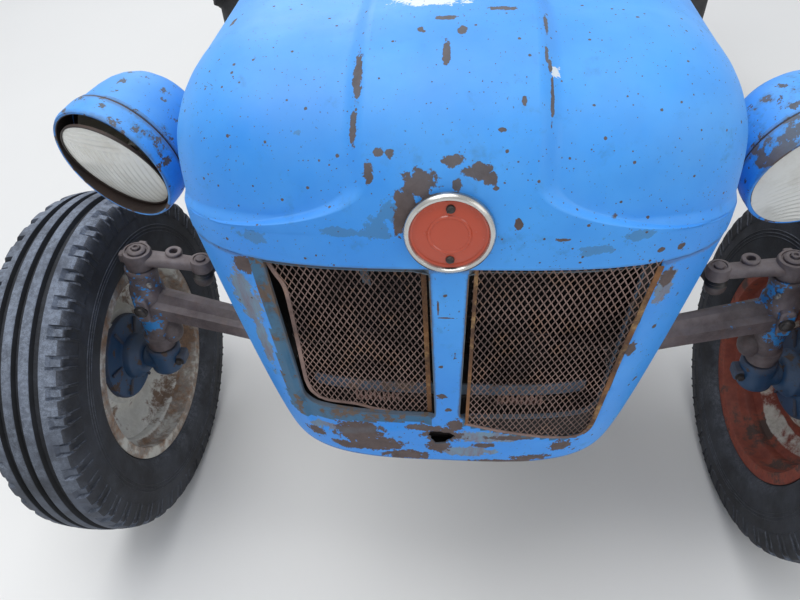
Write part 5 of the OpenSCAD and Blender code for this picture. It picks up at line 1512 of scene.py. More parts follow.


# the front bolster inside the nose is near black: painted shade
dress("front_bolster", paintedShadeInside, 0.004)
dress("engine_block clutch_housing gearbox rear_axle hydraulic_cover drawbar", casting, 0.004)
dress("cylinder_head radius_rods seat_spring pedals", casting, 0.002)
dress("drop_arm_left drop_arm_right drag_link_left drag_link_right", casting, 0.002)
dress("lift_rod_left lift_rod_right hinge_bar gear_levers", casting, 0.0015)
dress("lift_arms lower_link_left lower_link_right footplates", darkBlue, 0.0015)
dress("steering_box air_cleaner fuel_tank dynamo", darkBlue, 0.004)
dress("injection_pump", pumpMetal, 0.003)
dress("exhaust", rustyMetal, 0.002)
dress("radiator", radiatorBlack, 0.003)
dress("dash_cowl", plainBlue, 0.006)
print("castings dressed")

# radiator, fan and what is driven by the belt
fins = []
for ridge, valley in ((-121.2, -120.1), (-70.8, -71.9)):
    columns = np.linspace(-182, 182, 121)
    folds = [(x, ridge if k % 2 else valley, z) for z in (646, 996) for k, x in enumerate(columns)]
    fins.append((np.array(folds), [(k, k + 1, 121 + k + 1, 121 + k) for k in range(120)]))
tubesAcross = [softBlock((-184, y - 0.8, z - 1.2), (184, y + 0.8, z + 1.2), 0.6, "X", 0.3)
    for y in (-122.5, -69.5) for z in np.linspace(660, 985, 26)]
radiatorCap = drumAt([(0, 1102), (26, 1102), (31, 1104), (31, 1108), (27, 1112), (14, 1113.5), (0, 1114)],
    (0, -96, 0), toTop, 36)
capEar = softBlock((-36, -101, 1103.5), (36, -91, 1108.5), 3, "Z", 1)
seams = [softBlock((-198, -131, z - 4), (198, -61, z + 4), 6, "Z", 1.5) for z in (640, 1000)]
sideRails = [softBlock((s * 187 - 5, -126, 600), (s * 187 + 5, -66, 1040), 3, "Z", 1) for s in bothWays]
tankBolts = boltsAt([(x, -131, z) for x in range(-180, 181, 45) for z in (640, 1000)], toFront, 9)
radiatorParts = coated(radiatorBlack, fins + tubesAcross + seams + sideRails) + [(radiatorCap, pumpMetal),
    (capEar, pumpMetal), (tankBolts, screwMetal)]
machine("radiatorCoreAndTanks", radiatorParts)

fanBlade = []
for k in range(4):
    rows = []
    for r in np.linspace(34, 178, 9):
        share = (r - 34) / 144
        half = 26 + 13 * sin(pi * min(1, share * 0.8 + 0.15))
        tilt = radians(38 - 14 * share)
        rows.append([(r, -30 + u * half * sin(tilt) + 5 * (u * u - 0.4), u * half * cos(tilt))
            for u in np.linspace(-1, 1, 7)])
    grid = np.array(rows)
    fanBlade.append(place(sheetOf(grid, grid + (0, 2.4, 0)), (0, 0, 800), turned("Y", 90 * k + 20)))
fanHub = drumAt([(0, -40), (13, -40), (14, -38), (14, -35.5), (44, -35.5), (45, -33), (45, -26), (20, -24),
    (20, 0), (58, 2), (60, 4), (60, 8), (50, 12), (60, 16), (60, 20), (58, 22), (16, 23), (14, 29),
    (0, 29)], (0, 0, 800), toBack, 56)
fanArms = [place(softBlock((30, -35, -15), (78, -31.5, 15), 5, "Y", 1), (0, 0, 800),
    turned("Y", 90 * k + 20)) for k in range(4)]
fanRivets = merged([boltCircle((62 * cos(a), -35, 800 - 62 * sin(a)), toFront, 9, 2, 7)
    for a in [radians(90 * k + 20) for k in range(4)]])
machine("coolingFan", coated(fanRed, fanBlade + [fanHub] + fanArms)
    + [(fanRivets, screwMetal), (bolt((0, -40, 800), toFront, 18), screwMetal)], node="fan")

pulleys = [((0, 800), 60), ((202, 680), 40), ((0, 610), 74)]  # fan, dynamo and crank: place, radius
beltY = 46


def beltPath(y):
    # the outline of the three pulleys together: the hull of many points on their rims
    rim = [(x + r * cos(a), z + r * sin(a)) for (x, z), r in pulleys for a in around(48)]
    rim.sort()

    def turnsIn(a, b, c):
        return (b[0] - a[0]) * (c[1] - a[1]) <= (b[1] - a[1]) * (c[0] - a[0])

    def half(points):
        chain = []
        for p in points:
            while len(chain) > 1 and turnsIn(chain[-2], chain[-1], p):
                chain.pop()
            chain.append(p)
        return chain[:-1]

    return [(x, y, z) for x, z in half(rim) + half(rim[::-1])]


belt = sweep(beltPath(beltY), [(-4.5, -4), (-6.5, 4), (6.5, 4), (4.5, -4)], closed=True, up=toBack)


def grooved(r):
    return [(r - 22, -8), (r - 1, -8), (r + 2, -6), (r - 9, 0), (r + 2, 6), (r - 1, 8), (r - 22, 8)]


beltWheels = [place(ring(grooved(r), 56), (x, beltY, z), aimed(toBack)) for (x, z), r in pulleys[:2]]
crankWheel = place(ring(grooved(78), 64), (0, beltY, 610), aimed(toBack))
machine("fanBeltAndPulleys", [(belt, blackTrim)] + coated(rustyMetal, beltWheels)
    + [(crankWheel, rustyMetal), (bolt((0, 24, 610), toFront, 36, 12), screwMetal),
    (boltCircle((0, 24, 610), toFront, 48, 4, 12), screwMetal)])
print("radiator and fan ready")

# engine: what is bolted to the block, the head and the covers
engineIron = [softBlock((-128, 56, 500), (128, 60.5, 852), 22, "Y", 2),
    softBlock((-126, 60, 512), (126, 620, 532), 4, "Y", 2),
    softBlock((-146, 90, 556), (-139, 600, 600), 4, "Y", 2),
    softBlock((139, 90, 556), (146, 600, 600), 4, "Y", 2),
    softBlock((-112, 66, 928), (112, 614, 937), 4, "Y", 2),
    softBlock((-78, 78, 950), (78, 602, 958), 4, "Y", 2),
    drumAt([(0, 0), (28, 0), (30, 4), (28, 8), (24, 10), (24, 44), (0, 44)], (0, 60, 905), (0, -1, 0.5),
    28), drumAt([(0, 0), (30, 0), (32, 3), (32, 60), (29, 66), (0, 68)], (140, 470, 640), toLeft, 32)]
engineIron += [softBlock((s * 139 - 4, y - 5, 620), (s * 139 + 4, y + 5, 850), 3, "Z", 1.5)
    for s in bothWays for y in (170, 300, 430, 560)]
plugs = [drumAt([(0, 0), (24, 0), (24, 2), (21, 3), (19, 1), (0, 1)], (s * 140, y, 790), (s, 0, 0), 28)
    for s in bothWays for y in (235, 365)]
blockBolts = boltsAt([(s * 116, 56, z) for s in bothWays for z in (540, 620, 700, 780)]
    + [(x, 56, z) for z in (515, 838) for x in (-80, -30, 30, 80)], toFront, 13)
headNuts = boltsAt([(s * 92, y, 936) for s in bothWays for y in (95, 200, 285, 370, 455, 540, 590)], toTop,
    17)
rockerNuts = boltsAt([(0, y, 1019) for y in (150, 340, 530)], toTop, 18)
rockerRibs = [place(lathe([(70, -3), (72.5, -3), (72.5, 3), (70, 3)], 30, 0, 180), (0, y, 950),
    aimed(toBack)) for y in (110, 225, 455, 570)]
filler = drumAt([(0, 0), (20, 0), (20, 16), (24, 17), (24, 30), (21, 33), (0, 33)], (28, 250, 1008),
    (0.3, 0, 1), 28)
sumpPlugs = boltsAt([(s * 121, y, 524) for s in bothWays for y in range(85, 620, 66)], (0, 0, -1), 11)
machine("engineCoversAndBolts", coated(casting, engineIron + plugs) + coated(casting, rockerRibs)
    + coated(screwMetal, (blockBolts, headNuts, rockerNuts, sumpPlugs)) + [(filler, darkBlue)])

pipeRuns = []
for k in range(3):
    y, out = 360 + 42 * k, 158 + 170 * k
    pipeRuns.append(tube([(-180, y, 736), (-180, y, 770), (-172, y + (out - y) * 0.1, 850),
        (-140, out - 20, 960), (-70, out + 22, 1008 + 4 * k), (20, out + 18, 1030), (80, out + 6, 1010),
        (85, out, 976)], 3.2, 8, bend=5))
pipeRuns.append(tube([(-182, 527, 772), (-182, 527, 792), (-176, 500, 800), (-176, 470, 770),
    (-176, 466, 702)], 3.6, 8, bend=5))
pipeRuns.append(tube([(-160, 600, 760), (-160, 640, 800), (-165, 660, 930), (-150, 640, 1040),
    (-120, 600, 1050)], 4, 8, bend=5))
unions = boltsAt([(-180, 360 + 42 * k, 734) for k in range(3)]
    + [(85, 158 + 170 * k, 974) for k in range(3)] + [(-182, 527, 770), (-182, 583, 770)], toTop, 14)
bowls = [drumAt([(0, 0), (22, 0), (25, 4), (26.6, 10), (26.6, 16)], (-182, y, 638), toTop, 28)
    for y in (527, 583)]
pumpLever = merged([bar((-212, 350, 662), (-216, 330, 712), 10, 5),
    drumAt([(0, 0), (9, 0), (9, 8), (0, 8)], (-210, 352, 660), toRight, 18)])
pumpBolts = boltsAt([(-210, y, z) for y in (345, 405, 465) for z in (632, 690)], toRight, 11)
pumpFlange = drumAt([(0, 0), (46, 0), (48, 3), (48, 11), (0, 12)], (-175, 318, 660), toBack, 32)
machine("injectionPipesAndFilters", coated(bareSteel, pipeRuns)
    + [(unions, screwMetal), (pumpBolts, screwMetal), (pumpLever, bareSteel), (pumpFlange, casting)]
    + coated(pumpMetal, bowls))

exhaustParts = coated(rustyMetal, [softBlock((104, y - 24, 862), (112, y + 24, 924), 8, "X", 2)
    for y in (158, 328, 498)])
exhaustParts += [(drumAt([(22, -6), (40, -6), (41, -4), (41, 4), (40, 6), (22, 6)], (125, 420, 890),
    (0.8, 0, 0), 28), rustyMetal)]
exhaustParts += [(drumAt([(47, 0), (50.4, 1), (50.4, 15), (47, 16)], (167, y, 340), toBack, 40), bareSteel)
    for y in (716, 1088)]
exhaustParts += [(drumAt([(21, 0), (26, 1), (26, 17), (21, 18)], (167, y, 340), toBack, 28), bareSteel)
    for y in (660, 1150, 1420)]
exhaustParts += [(boltsAt([(117, y, z) for y in (140, 176, 310, 346, 480, 516) for z in (872, 914)],
    toLeft, 12), screwMetal)]
exhaustParts += [(softBlock((128, 1405, 345), (160, 1425, 420), 3, "Z", 1), casting),
    (softBlock((120, 655, 350), (160, 675, 410), 3, "Z", 1), casting)]
machine("exhaustClampsAndFlanges", exhaustParts)

cleanerBands = [ring([(67.5, z), (70, z + 1), (70, z + 9), (67.5, z + 10)], 48)
    for z in (640, 700, 742, 796)]
cleanerParts = [(place(s, (-215, 140, 0)), bareSteel if k else darkBlue)
    for k, s in enumerate(cleanerBands)]
cleanerParts += [(drumAt([(24, 912), (40, 918), (42, 924), (42, 946), (38, 952), (0, 956)], (-215, 140, 0),
    toTop, 36), darkBlue)]
cleanerParts += [(drumAt([(19, 0), (24.5, 1), (24.5, 13), (19, 14)], (x, 140, 892), toLeft, 28), bareSteel)
    for x in (-186, -126)]
dynamoParts = [(drumAt([(54, 0), (57, 1), (57, 11), (54, 12)], (202, y, 680), toBack, 40), casting)
    for y in (96, 150, 250, 278)]
dynamoParts += [(boltCircle((202, 290, 680), toBack, 38, 4, 10), screwMetal),
    (drumAt([(0, 0), (14, 0), (14, 10), (0, 12)], (202, 290, 680), toBack, 24), casting)]
dynamoParts += [(merged([bar((202, 100, 734), (130, 66, 770), 20, 5), bolt((202, 100, 736), toTop, 12)]),
    casting)]
hoses = [tube([(0, -64, 1040), (0, -40, 1042), (0, -8, 1020), (0, 20, 975), (0, 38, 925)], 21, 20, bend=6),
    tube([(110, -67, 622), (112, -44, 614), (114, -10, 636), (110, 20, 694), (103, 44, 742),
    (100, 58, 758)], 19, 20, bend=6)]
clips = [drumAt([(20, 0), (24.5, 1), (24.5, 11), (20, 12)], at, axis, 28)
    for at, axis in (((0, -60, 1041), toBack), ((0, 32, 941), (0, 0.33, -0.94)),
    ((110, -60, 620.5), toBack))]
tankParts = [(softBlock((-192, y - 12, 1043), (192, y + 12, 1137), 3, "Y", 1), casting)
    for y in (230, 415)]
tankCap = drumAt([(0, 0), (36, 0), (38, 2), (38, 13), (35, 16), (12, 18), (0, 18)], (0, 420, 1136), toTop,
    36)
tankParts += [(tankCap, chrome),
    (boltsAt([(s * 85, y, 1137) for s in bothWays for y in (230, 415)], toTop, 12), screwMetal)]
machine("engineFittings", cleanerParts + dynamoParts + coated(blackTrim, hoses) + coated(bareSteel, clips)
    + tankParts)
print("engine ready")

# gearbox and rear axle: joint flanges with their bolts, side covers, ribs
flangeParts = []
for y, low, high, count in ((928, (-148, 398), (148, 812), 5), (1638, (-166, 392), (166, 804), 6)):
    flangeParts.append(softBlock((low[0], y - 12, low[1]), (high[0], y + 12, high[1]), 20, "Y", 2))
    zs = np.linspace(low[1] + 24, high[1] - 24, count)
    for s in bothWays:
        flangeParts.append(boltsAt([(s * (high[0] - 11), y - 12, z) for z in zs], toFront, 15))
    flangeParts.append(boltsAt([(x, y - 12, high[1] - 12) for x in (-70, 0, 70)], toFront, 15))
bellRing = drumAt([(180, -4), (197, -4), (199, -2), (199, 10), (197, 12), (180, 12)], (0, 624, 610),
    toBack, 72)
flangeParts += [bellRing, boltCircle((0, 636, 610), toBack, 189, 16, 14, 11)]
flangeParts += [softBlock((s * 134 - 5, 950 + 150 * k, 430), (s * 134 + 5, 962 + 150 * k, 780), 3, "Z",
    1.5) for s in bothWays for k in range(5)]
sideCover = [drumAt([(0, 0), (66, 0), (68, 2), (68, 7), (64, 9), (30, 9), (26, 13), (0, 13)],
    (s * 135, 1210, 560), (s, 0, 0), 44) for s in bothWays]
sideBolts = [boltCircle((s * 143, 1210, 560), (s, 0, 0), 56, 8, 11) for s in bothWays]
lidBolts = boltsAt([(s * 68, y, 822) for s in bothWays for y in (1142, 1200, 1290, 1348)], toTop, 13)
plugBolts = boltsAt([(0, 1500, 410), (0, 1000, 410)], (0, 0, -1), 26)
axleRings = [drumAt([(118, 0), (132, 0), (134, 2), (134, 12), (132, 14), (118, 14)], (s * 160, *rearAxle),
    (s, 0, 0), 56) for s in bothWays]
axleBolts = [boltCircle((s * 174, *rearAxle), (s, 0, 0), 125, 12, 14) for s in bothWays]
drumRibs = [drumAt([(160, 0), (168.5, 1.5), (168.5, 6.5), (160, 8)], (s * x, *rearAxle), (s, 0, 0), 72)
    for s in bothWays for x in (432, 452, 472, 492)]
drumBolts = [boltCircle((s * 430, *rearAxle), (-s, 0, 0), 120, 8, 14) for s in bothWays]
tubeCollars = [drumAt([(60, 0), (74, 1), (74, 17), (60, 18)], (s * 408, *rearAxle), (s, 0, 0), 44)
    for s in bothWays]
backCover = softBlock((-120, 2044, 470), (120, 2052, 770), 26, "Y", 2)
backBolts = boltsAt([(s * 106, 2052, z) for s in bothWays for z in (500, 590, 680, 745)]
    + [(0, 2052, 752)], toBack, 15)
machine("gearboxFlanges", coated(casting, flangeParts + sideCover + axleRings + drumRibs + tubeCollars
    + [backCover]) + coated(screwMetal, sideBolts + axleBolts + drumBolts
    + [lidBolts, plugBolts, backBolts]))

spline = softBlock((15.5, 2062, -1.6), (17.4, 2130, 1.6), 0.6, "Y", 0.3)
shaftSplines = merged([place(spline, (0, 0, 540), turned("Y", 60 * k)) for k in range(6)])
coverBolts = boltsAt([(s * 138, y, 930) for s in bothWays for y in (1668, 1770, 1870, 1960, 2010)]
    + [(x, 2012, 930) for x in (-70, 0, 70)], toTop, 14)
coverPlate = softBlock((-90, 1760, 929), (90, 1900, 936), 14, "Z", 2)
coverPlateBolts = boltsAt([(s * 76, y, 936) for s in bothWays for y in (1774, 1830, 1886)], toTop, 11)
quadrant = place(lathe([(96, -3), (122, -3), (122, 3), (96, 3)], 24, 20, 110), (152, 1740, 880),
    aimed(toLeft))
liftLever = merged([rod((162, 1740, 880), (176, 1640, 1040), 6, 12), ball((176, 1640, 1046), 15, 16)])
topPin = merged([rod((-44, 2070, 832), (44, 2070, 832), 9.4, 20), ball((44, 2070, 832), 13, 14),
    rod((-36, 2070, 845), (-36, 2070, 818), 2.5, 8)])
machine("liftCoverFittings",
    [(coverBolts, screwMetal), (coverPlate, casting), (coverPlateBolts, screwMetal), (quadrant, casting),
    (liftLever, bareSteel), (topPin, bareSteel), (shaftSplines, bareSteel)])
print("transmission ready")

# steering gear and the driver's place
boxBolts = boltsAt([(s * 96, y, 945) for s in bothWays for y in (660, 700, 742)]
    + [(s * 110, y, z) for s in bothWays for y in (670, 730) for z in (820, 920)], toTop, 14)
boxFlange = softBlock((-124, 640, 796), (124, 652, 948), 10, "Y", 2)
pivotCaps = [drumAt([(30, 0), (36, 1), (36, 12), (30, 14)], (s * 150, 794, 868), (s, 0, 0), 36)
    for s in bothWays]
pivotNuts = boltsAt([(s * 198, 794, 868) for s in bothWays], toLeft, 22)
columnAt = Vector((0, 824, 935))
columnUp = Vector((0, sin(radians(45)), cos(radians(45))))
columnParts = [(drumAt([(24, 0), (30, 2), (30, 30), (27, 36), (24, 36)], columnAt + columnUp * 34,
    columnUp, 36), darkBlue),
    (drumAt([(23.6, 0), (27, 1), (27, 26), (23.6, 28)], columnAt + columnUp * 354, columnUp, 36),
    bareSteel)]
throttleAt = columnAt + columnUp * 330
throttle = merged([rod(throttleAt, throttleAt + Vector((130, 10, 6)), 4, 10),
    ball(throttleAt + Vector((134, 10, 6)), 10, 14)])
machine("steeringBoxFittings", [(boxBolts, screwMetal), (boxFlange, darkBlue), (pivotNuts, screwMetal),
    (throttle, bareSteel)] + coated(casting, pivotCaps) + columnParts)

wheelHub = Vector(columnAt) + columnUp * 425
wheelFrame = aimed(columnUp)


def steeringRim():
    # a round rim with shallow finger dents on its underside
    points, steps, sides = [], 160, 16
    for k in range(steps):
        a = 2 * pi * k / steps
        for j in range(sides):
            b = 2 * pi * j / sides
            thick = 12 - 0.9 * max(0, -sin(b)) * (0.5 + 0.5 * cos(a * 32))
            points.append(polar(193 + thick * cos(b), a, thick * sin(b)))
    return np.array(points), loopFaces(steps, sides, closed=True)


steerSpokes = []
for k in range(3):
    a = radians(120 * k)
    d = np.array([cos(a), sin(a), 0])
    for shift in (-9, 9):
        side = np.array([-sin(a), cos(a), 0]) * shift
        steerSpokes.append(tube([d * 22 + side + (0, 0, -16), d * 90 + side * 1.1 + (0, 0, -15), d * 160
            + side * 1.2 + (0, 0, -6), d * 188 + side * 1.2], 3.6, 10, bend=4))
steerHub = lathe([(0, -40), (26, -40), (31, -36), (33, -20), (33, -6), (28, 2), (14, 4), (13, 9), (0, 10)],
    44)
steerShaft = lathe([(0, -122), (10, -122), (10, -38), (0, -38)], 24)
steerCap = lathe([(0, 9), (11, 9), (12, 11), (10, 14), (0, 15)], 28)


def toWheel(shape):
    return place(shape, wheelHub, wheelFrame)


machine("steeringWheelRim", [(toWheel(steeringRim()), blackTrim), (toWheel(steerHub), blackTrim),
    (toWheel(steerShaft), bareSteel), (toWheel(steerCap), chrome)]
    + [(toWheel(s), bareSteel) for s in steerSpokes], "steering_wheel", "steering_wheel")

# dials: a chrome ring, a pale face with marks round its edge, a red needle
gauge = {"y": 905, "places": [(-150, 1105, 44), (150, 1105, 44), (-228, 1030, 24), (228, 1030, 24)]}
dashParts = []
for x, z, r in gauge["places"]:
    face = aimed(toBack)
    dashParts.append((place(ring([(r - 3, 0), (r + 3, 0), (r + 3, 6), (r + 1, 9), (r - 2, 9), (r - 3, 6)],
        48), (x, gauge["y"], z), face), chrome))
    dashParts.append((place(lathe([(0, 0.5), (r - 2.5, 0.5), (r - 2.5, 3), (0, 3)], 40),
        (x, gauge["y"], z), face), dialWhite))
    for k in range(11):
        mark = softBlock((r * 0.68, 3, -0.7), (r * (0.9 if k % 5 else 0.93), 3.6, 0.7 if k % 5 else 1.4),
            0.2, "Y", 0.1)
        dashParts.append((place(mark, (x, gauge["y"], z), turned("Y", 26 * k - 40)), blackTrim))
    needle = merged([softBlock((-r * 0.15, 4, -0.6), (r * 0.7, 4.8, 0.6), 0.3, "Y", 0.1),
        drumAt([(0, 3.4), (3, 3.4), (3, 5.6), (0, 5.8)], (0, 0, 0), toBack, 14)])
    dashParts.append((place(needle, (x, gauge["y"], z), turned("Y", 55 if r > 30 else -30)), fanRed))
dashParts.append((drumAt([(0, 0), (13, 0), (14, 3), (12, 12), (0, 13)], (-90, 905, 1010), toBack, 24),
    chrome))
dashParts.append((drumAt([(0, 0), (11, 0), (11, 4), (7, 6), (7, 16), (9, 22), (0, 24)], (90, 905, 1010),
    toBack, 22), blackTrim))
cowl = {"half": 334, "low": 945, "rise": 262, "round": 2 / 3.3}
for y in (757, 903):
    edge = []
    for a in np.linspace(-pi / 2, pi / 2, 61):
        across = cowl["half"] * copysign(abs(sin(a)) ** cowl["round"], sin(a))
        edge.append((across, y, cowl["low"] + cowl["rise"] * abs(cos(a)) ** cowl["round"]))
    dashParts.append((sweep(edge, circle(3.4, 8), up=toBack), plainBlue))
dashParts.append((boltsAt([(s * 318, 905, z) for s in bothWays for z in (960, 1030)]
    + [(x, 905, 962) for x in (-200, -60, 60, 200)], toBack, 11), screwMetal))
machine("dashDials", dashParts)

# mudguards: a fine shell over each rear tyre with a rolled edge, ribs and a lamp at the back
guardArc = np.radians(np.linspace(0, 150, 76))
guardLow = 485  # height of the side plate's lower edge


def onArc(x, r, a):
    return (x, rearAxle[0] + r * cos(a), rearAxle[1] + r * sin(a))


guardSkin = sheetOf(*[[[onArc(x, r, a) for x in np.linspace(505, 720, 9)] for a in guardArc]
    for r in (668, 665)])
guardSide = [[], []]
for a in guardArc:
    _, y, z = onArc(505, 667, a)
    for layer, x in zip(guardSide, (505, 508)):
        layer.append([(x, y, z + (guardLow - z) * k / 8) for k in range(9)])
guardPlate = sheetOf(*guardSide)
roll = [onArc(719, 664, a) for a in guardArc]
innerRoll = [onArc(507, 669, a) for a in guardArc]
lowRoll = [(506.5, y, guardLow) for y in np.linspace(rearAxle[0] - 575, rearAxle[0] + 664, 12)]
guardParts = [(guardSkin, plainBlue), (guardPlate, plainBlue), (tube(roll, 5.5, 12), plainBlue),
    (tube(innerRoll, 4, 8), plainBlue), (tube(lowRoll, 4.5, 10), plainBlue)]
guardParts += [(tube([onArc(x, 669, a) for a in guardArc[4:-4]], 2.6, 8), plainBlue)
    for x in (560, 612, 664)]
guardParts += [(boltsAt([(508, rearAxle[0] + 560 * cos(a), rearAxle[1] + 560 * sin(a))
    for a in np.radians([25, 50, 75, 105, 128])], toLeft, 15), screwMetal)]
rearLamp = [(drumAt([(0, 0), (27, 0), (30, 3), (31, 22), (29, 24), (0, 24)], (612, 2495, 800), toBack, 32),
    blackTrim), (drumAt([(28, 23), (28, 27), (20, 31), (0, 32)], (612, 2495, 800), toBack, 32), redLens)]
guardParts += [(softBlock((606, 2470, 780), (618, 2497, 812), 3, "Z", 1), casting)] + rearLamp
machine("rearMudguards", bothOf(guardParts), node="mudguards", sharp=40)

# seat: a pressed pan with drain holes, a rolled edge and bolts
pan = {"wide": 440, "deep": 360, "y": rearAxle[0] - 95, "z": 980}


def seatPoint(u, v, lift):
    back = ease((v - 0.45) / 0.55)
    x = u * pan["wide"] / 2 * (1 - 0.1 * v)
    z = pan["z"] + lift + 95 * abs(u) ** 3.2 * (0.35 + 0.65 * v) + 130 * back * back + 12 * max(0,
        1 - v / 0.45) ** 2
    corner = max(0, abs(u) - 0.72) / 0.28 * (max(0, 0.18 - v) / 0.18 + max(0, v - 0.86) / 0.14)
    y = pan["y"] - 120 + v * pan["deep"]
    y += (38 * corner if v < 0.5 else -30 * corner)
    return (x, y, z)


panRows, panColumns = 41, 45
seatGrid = [[seatPoint(2 * i / (panColumns - 1) - 1, j / (panRows - 1), 6) for i in range(panColumns)]
    for j in range(panRows)]
seatUnder = [[seatPoint(2 * i / (panColumns - 1) - 1, j / (panRows - 1), 1.5) for i in range(panColumns)]
    for j in range(panRows)]


def seatHole(j, i):
    # slots fan out over the pan
    return (j in (12, 13, 17, 18, 22, 23) and i % 6 in (3, 4) and 6 < i < 38
        and not (18 < i < 26 and j in (17, 18)))


edgeLoop = [seatPoint(u, 0, 4) for u in np.linspace(-1, 1, 24)] + [seatPoint(1, v, 4)
    for v in np.linspace(0.04, 0.96, 20)]
edgeLoop += [seatPoint(u, 1, 4) for u in np.linspace(1, -1, 24)] + [seatPoint(-1, v, 4)
    for v in np.linspace(0.96, 0.04, 20)]
seatParts = [(sheetOf(seatGrid, seatUnder, seatHole), seatPaint),
    (tube(edgeLoop, 6, 12, closed=True), seatPaint)]
seatParts += [(boltsAt([(x, pan["y"] + y, 987) for x in (-26, 26) for y in (18, 78)], toTop, 15),
    screwMetal)]
machine("seatPan", seatParts, node="seat", sharp=50)

springParts = [(boltsAt([(s * 20, rearAxle[0] + y, 944) for s in bothWays for y in (-175, -125)], toTop,
    16), screwMetal)]
springParts += [(softBlock((-27, rearAxle[0] - 172, 943), (27, rearAxle[0] - 128, 950), 6, "Z", 2),
    casting)]
leverParts = [(place(lathe([(8.4, 0), (24, 0), (32, -12), (35, -24), (36, -28), (8.4, -28)][::-1], 32),
    (0, 1190, 880)), blackTrim)]
leverParts += [(ball((0, 1130, 1090), 21, 24), blackTrim), (ball((70, 1250, 980), 16, 20), blackTrim)]
pedalPads = []
for s in bothWays:
    pedalPads += [softBlock((s * 245 - 38, 933 + 10 * k, 639), (s * 245 + 38, 938 + 10 * k, 643), 1.5, "X",
        0.6) for k in range(6)]
treads = []
for s in bothWays:
    for i in range(11):
        for j in range(11):
            stud = softBlock((-9, -1.6, 445), (9, 1.6, 447.4), 0.9, "Z", 0.4)
            treads.append(place(stud, (s * (180 + 30 * i), 1115 + 30 * j, 0),
                turned("Z", 45 if (i + j) % 2 else -45)))
edgeBars = [softBlock((s * 330 - 176, y - 4, 428), (s * 330 + 176, y + 4, 446), 3, "X", 1)
    for s in bothWays for y in (1097, 1433)]
machine("driversFittings", springParts + leverParts + coated(blackTrim, pedalPads)
    + [(merged(treads), darkBlue)] + coated(darkBlue, edgeBars))
print("driver's place ready")

# rear wheels: tyre with bevelled lugs that curve back to the shoulder, dished disc
rearTyre = {"lugs": 20, "reach": 614.9, "half": 144.9}
rearBody = [(579, 0), (578, 40), (573, 72), (566, 100), (557, 120), (541, 134), (520, 141), (490, 144.5),
    (456, 145), (425, 141), (402, 133), (386, 124), (379, 117), (377.5, 115), (355.5, 115)]
rearBody = [(a, -b) for a, b in reversed(rearBody[1:])] + rearBody


def lugShape(side):
    # from the middle of the tread out to the shoulder, leaning back, over the edge and down the side
    route = [(-6, 0.0, 579, 36), (16, 0.6, 578, 36.3), (44, 2.0, 577, 36.6), (74, 4.0, 573, 37.5),
        (104, 6.3, 566, 38), (128, 8.2, 553, 30), (141, 9.4, 528, 13), (146, 10.1, 500, 1.5)]
    points, faces = [], []
    for i, (x, lean, base, high) in enumerate(route):
        width = 17 + 5 * i / 7
        tilt = 0 if x < 104 else (0.5 if x < 130 else (1.1 if x < 143 else 1.3))
        for across, up in ((-1.35, -4), (-1.12, 0.25), (-0.92, 0.92), (-0.78, 1.0), (0.78, 1.0),
                (0.92, 0.92), (1.12, 0.25), (1.35, -4)):
            lift = high * up if up > 0 else up
            r = base + lift * cos(tilt)
            out = x + lift * sin(tilt)
            a = radians(lean * 1.25) + across * width * 1.15 / 600
            points.append(polar(min(r, rearTyre["reach"]), a, side * min(out, rearTyre["half"])))
    for i in range(len(route) - 1):
        for j in range(7):
            faces.append((i * 8 + j, i * 8 + j + 1, (i + 1) * 8 + j + 1, (i + 1) * 8 + j))
    faces += [tuple(range(7, -1, -1)), tuple((len(route) - 1) * 8 + j for j in range(8))]
    faces = faces if side > 0 else [tuple(reversed(f)) for f in faces]
    return np.array(points), faces


rearLugs = []
for k in range(rearTyre["lugs"]):
    step = 360 / rearTyre["lugs"]
    rearLugs += [place(lugShape(1), turn=turned("Z", k * step)),
        place(lugShape(-1), turn=turned("Z", (k + 0.5) * step))]
rearRings = [ring([(radius - 3, x - 0.6), (radius, x + 1.6), (radius + 3, x - 0.6), (radius, x - 3)], 120)
    for radius, x in ((430, 141.6), (418, 138.6), (400, 132.2))]
rearRings += [ring([(radius - 3, -x + 0.6), (radius, -x + 3), (radius + 3, -x + 0.6), (radius, -x - 1.6)],
    120) for radius, x in ((430, 141.6), (418, 138.6), (400, 132.2))]
rearRimOut = [(377.5, 118), (375, 116.4), (366, 115), (355.5, 115), (355.5, 58), (353, 54), (338, 44),
    (335.5, 40)]
rearRimIn = [(329.5, 38), (332, 43), (347, 53), (349.5, 57), (349.5, 118), (352, 120.5), (365, 121),
    (375, 121), (377.5, 120)]
rearDisc = [(0, -50), (112, -50), (124, -47), (138, -38), (150, -31), (170, -26), (220, -10), (260, 2),
    (285, 6), (300, 4), (318, -3), (333, -10)]


def onRearWheel(name, parts, node, sharp=35):
    for side, sign in (("left", 1), ("right", -1)):
        placed = [(place((np.asarray(p), f), (670, *rearAxle), turned("Y", 90)), m) for (p, f), m in parts]
        placed = placed if sign > 0 else [(mirrored(shape), m) for shape, m in placed]
        machine(f"{name}_{side}", placed, f"rear_wheel_{side}", f"{node}_{side}", sharp)


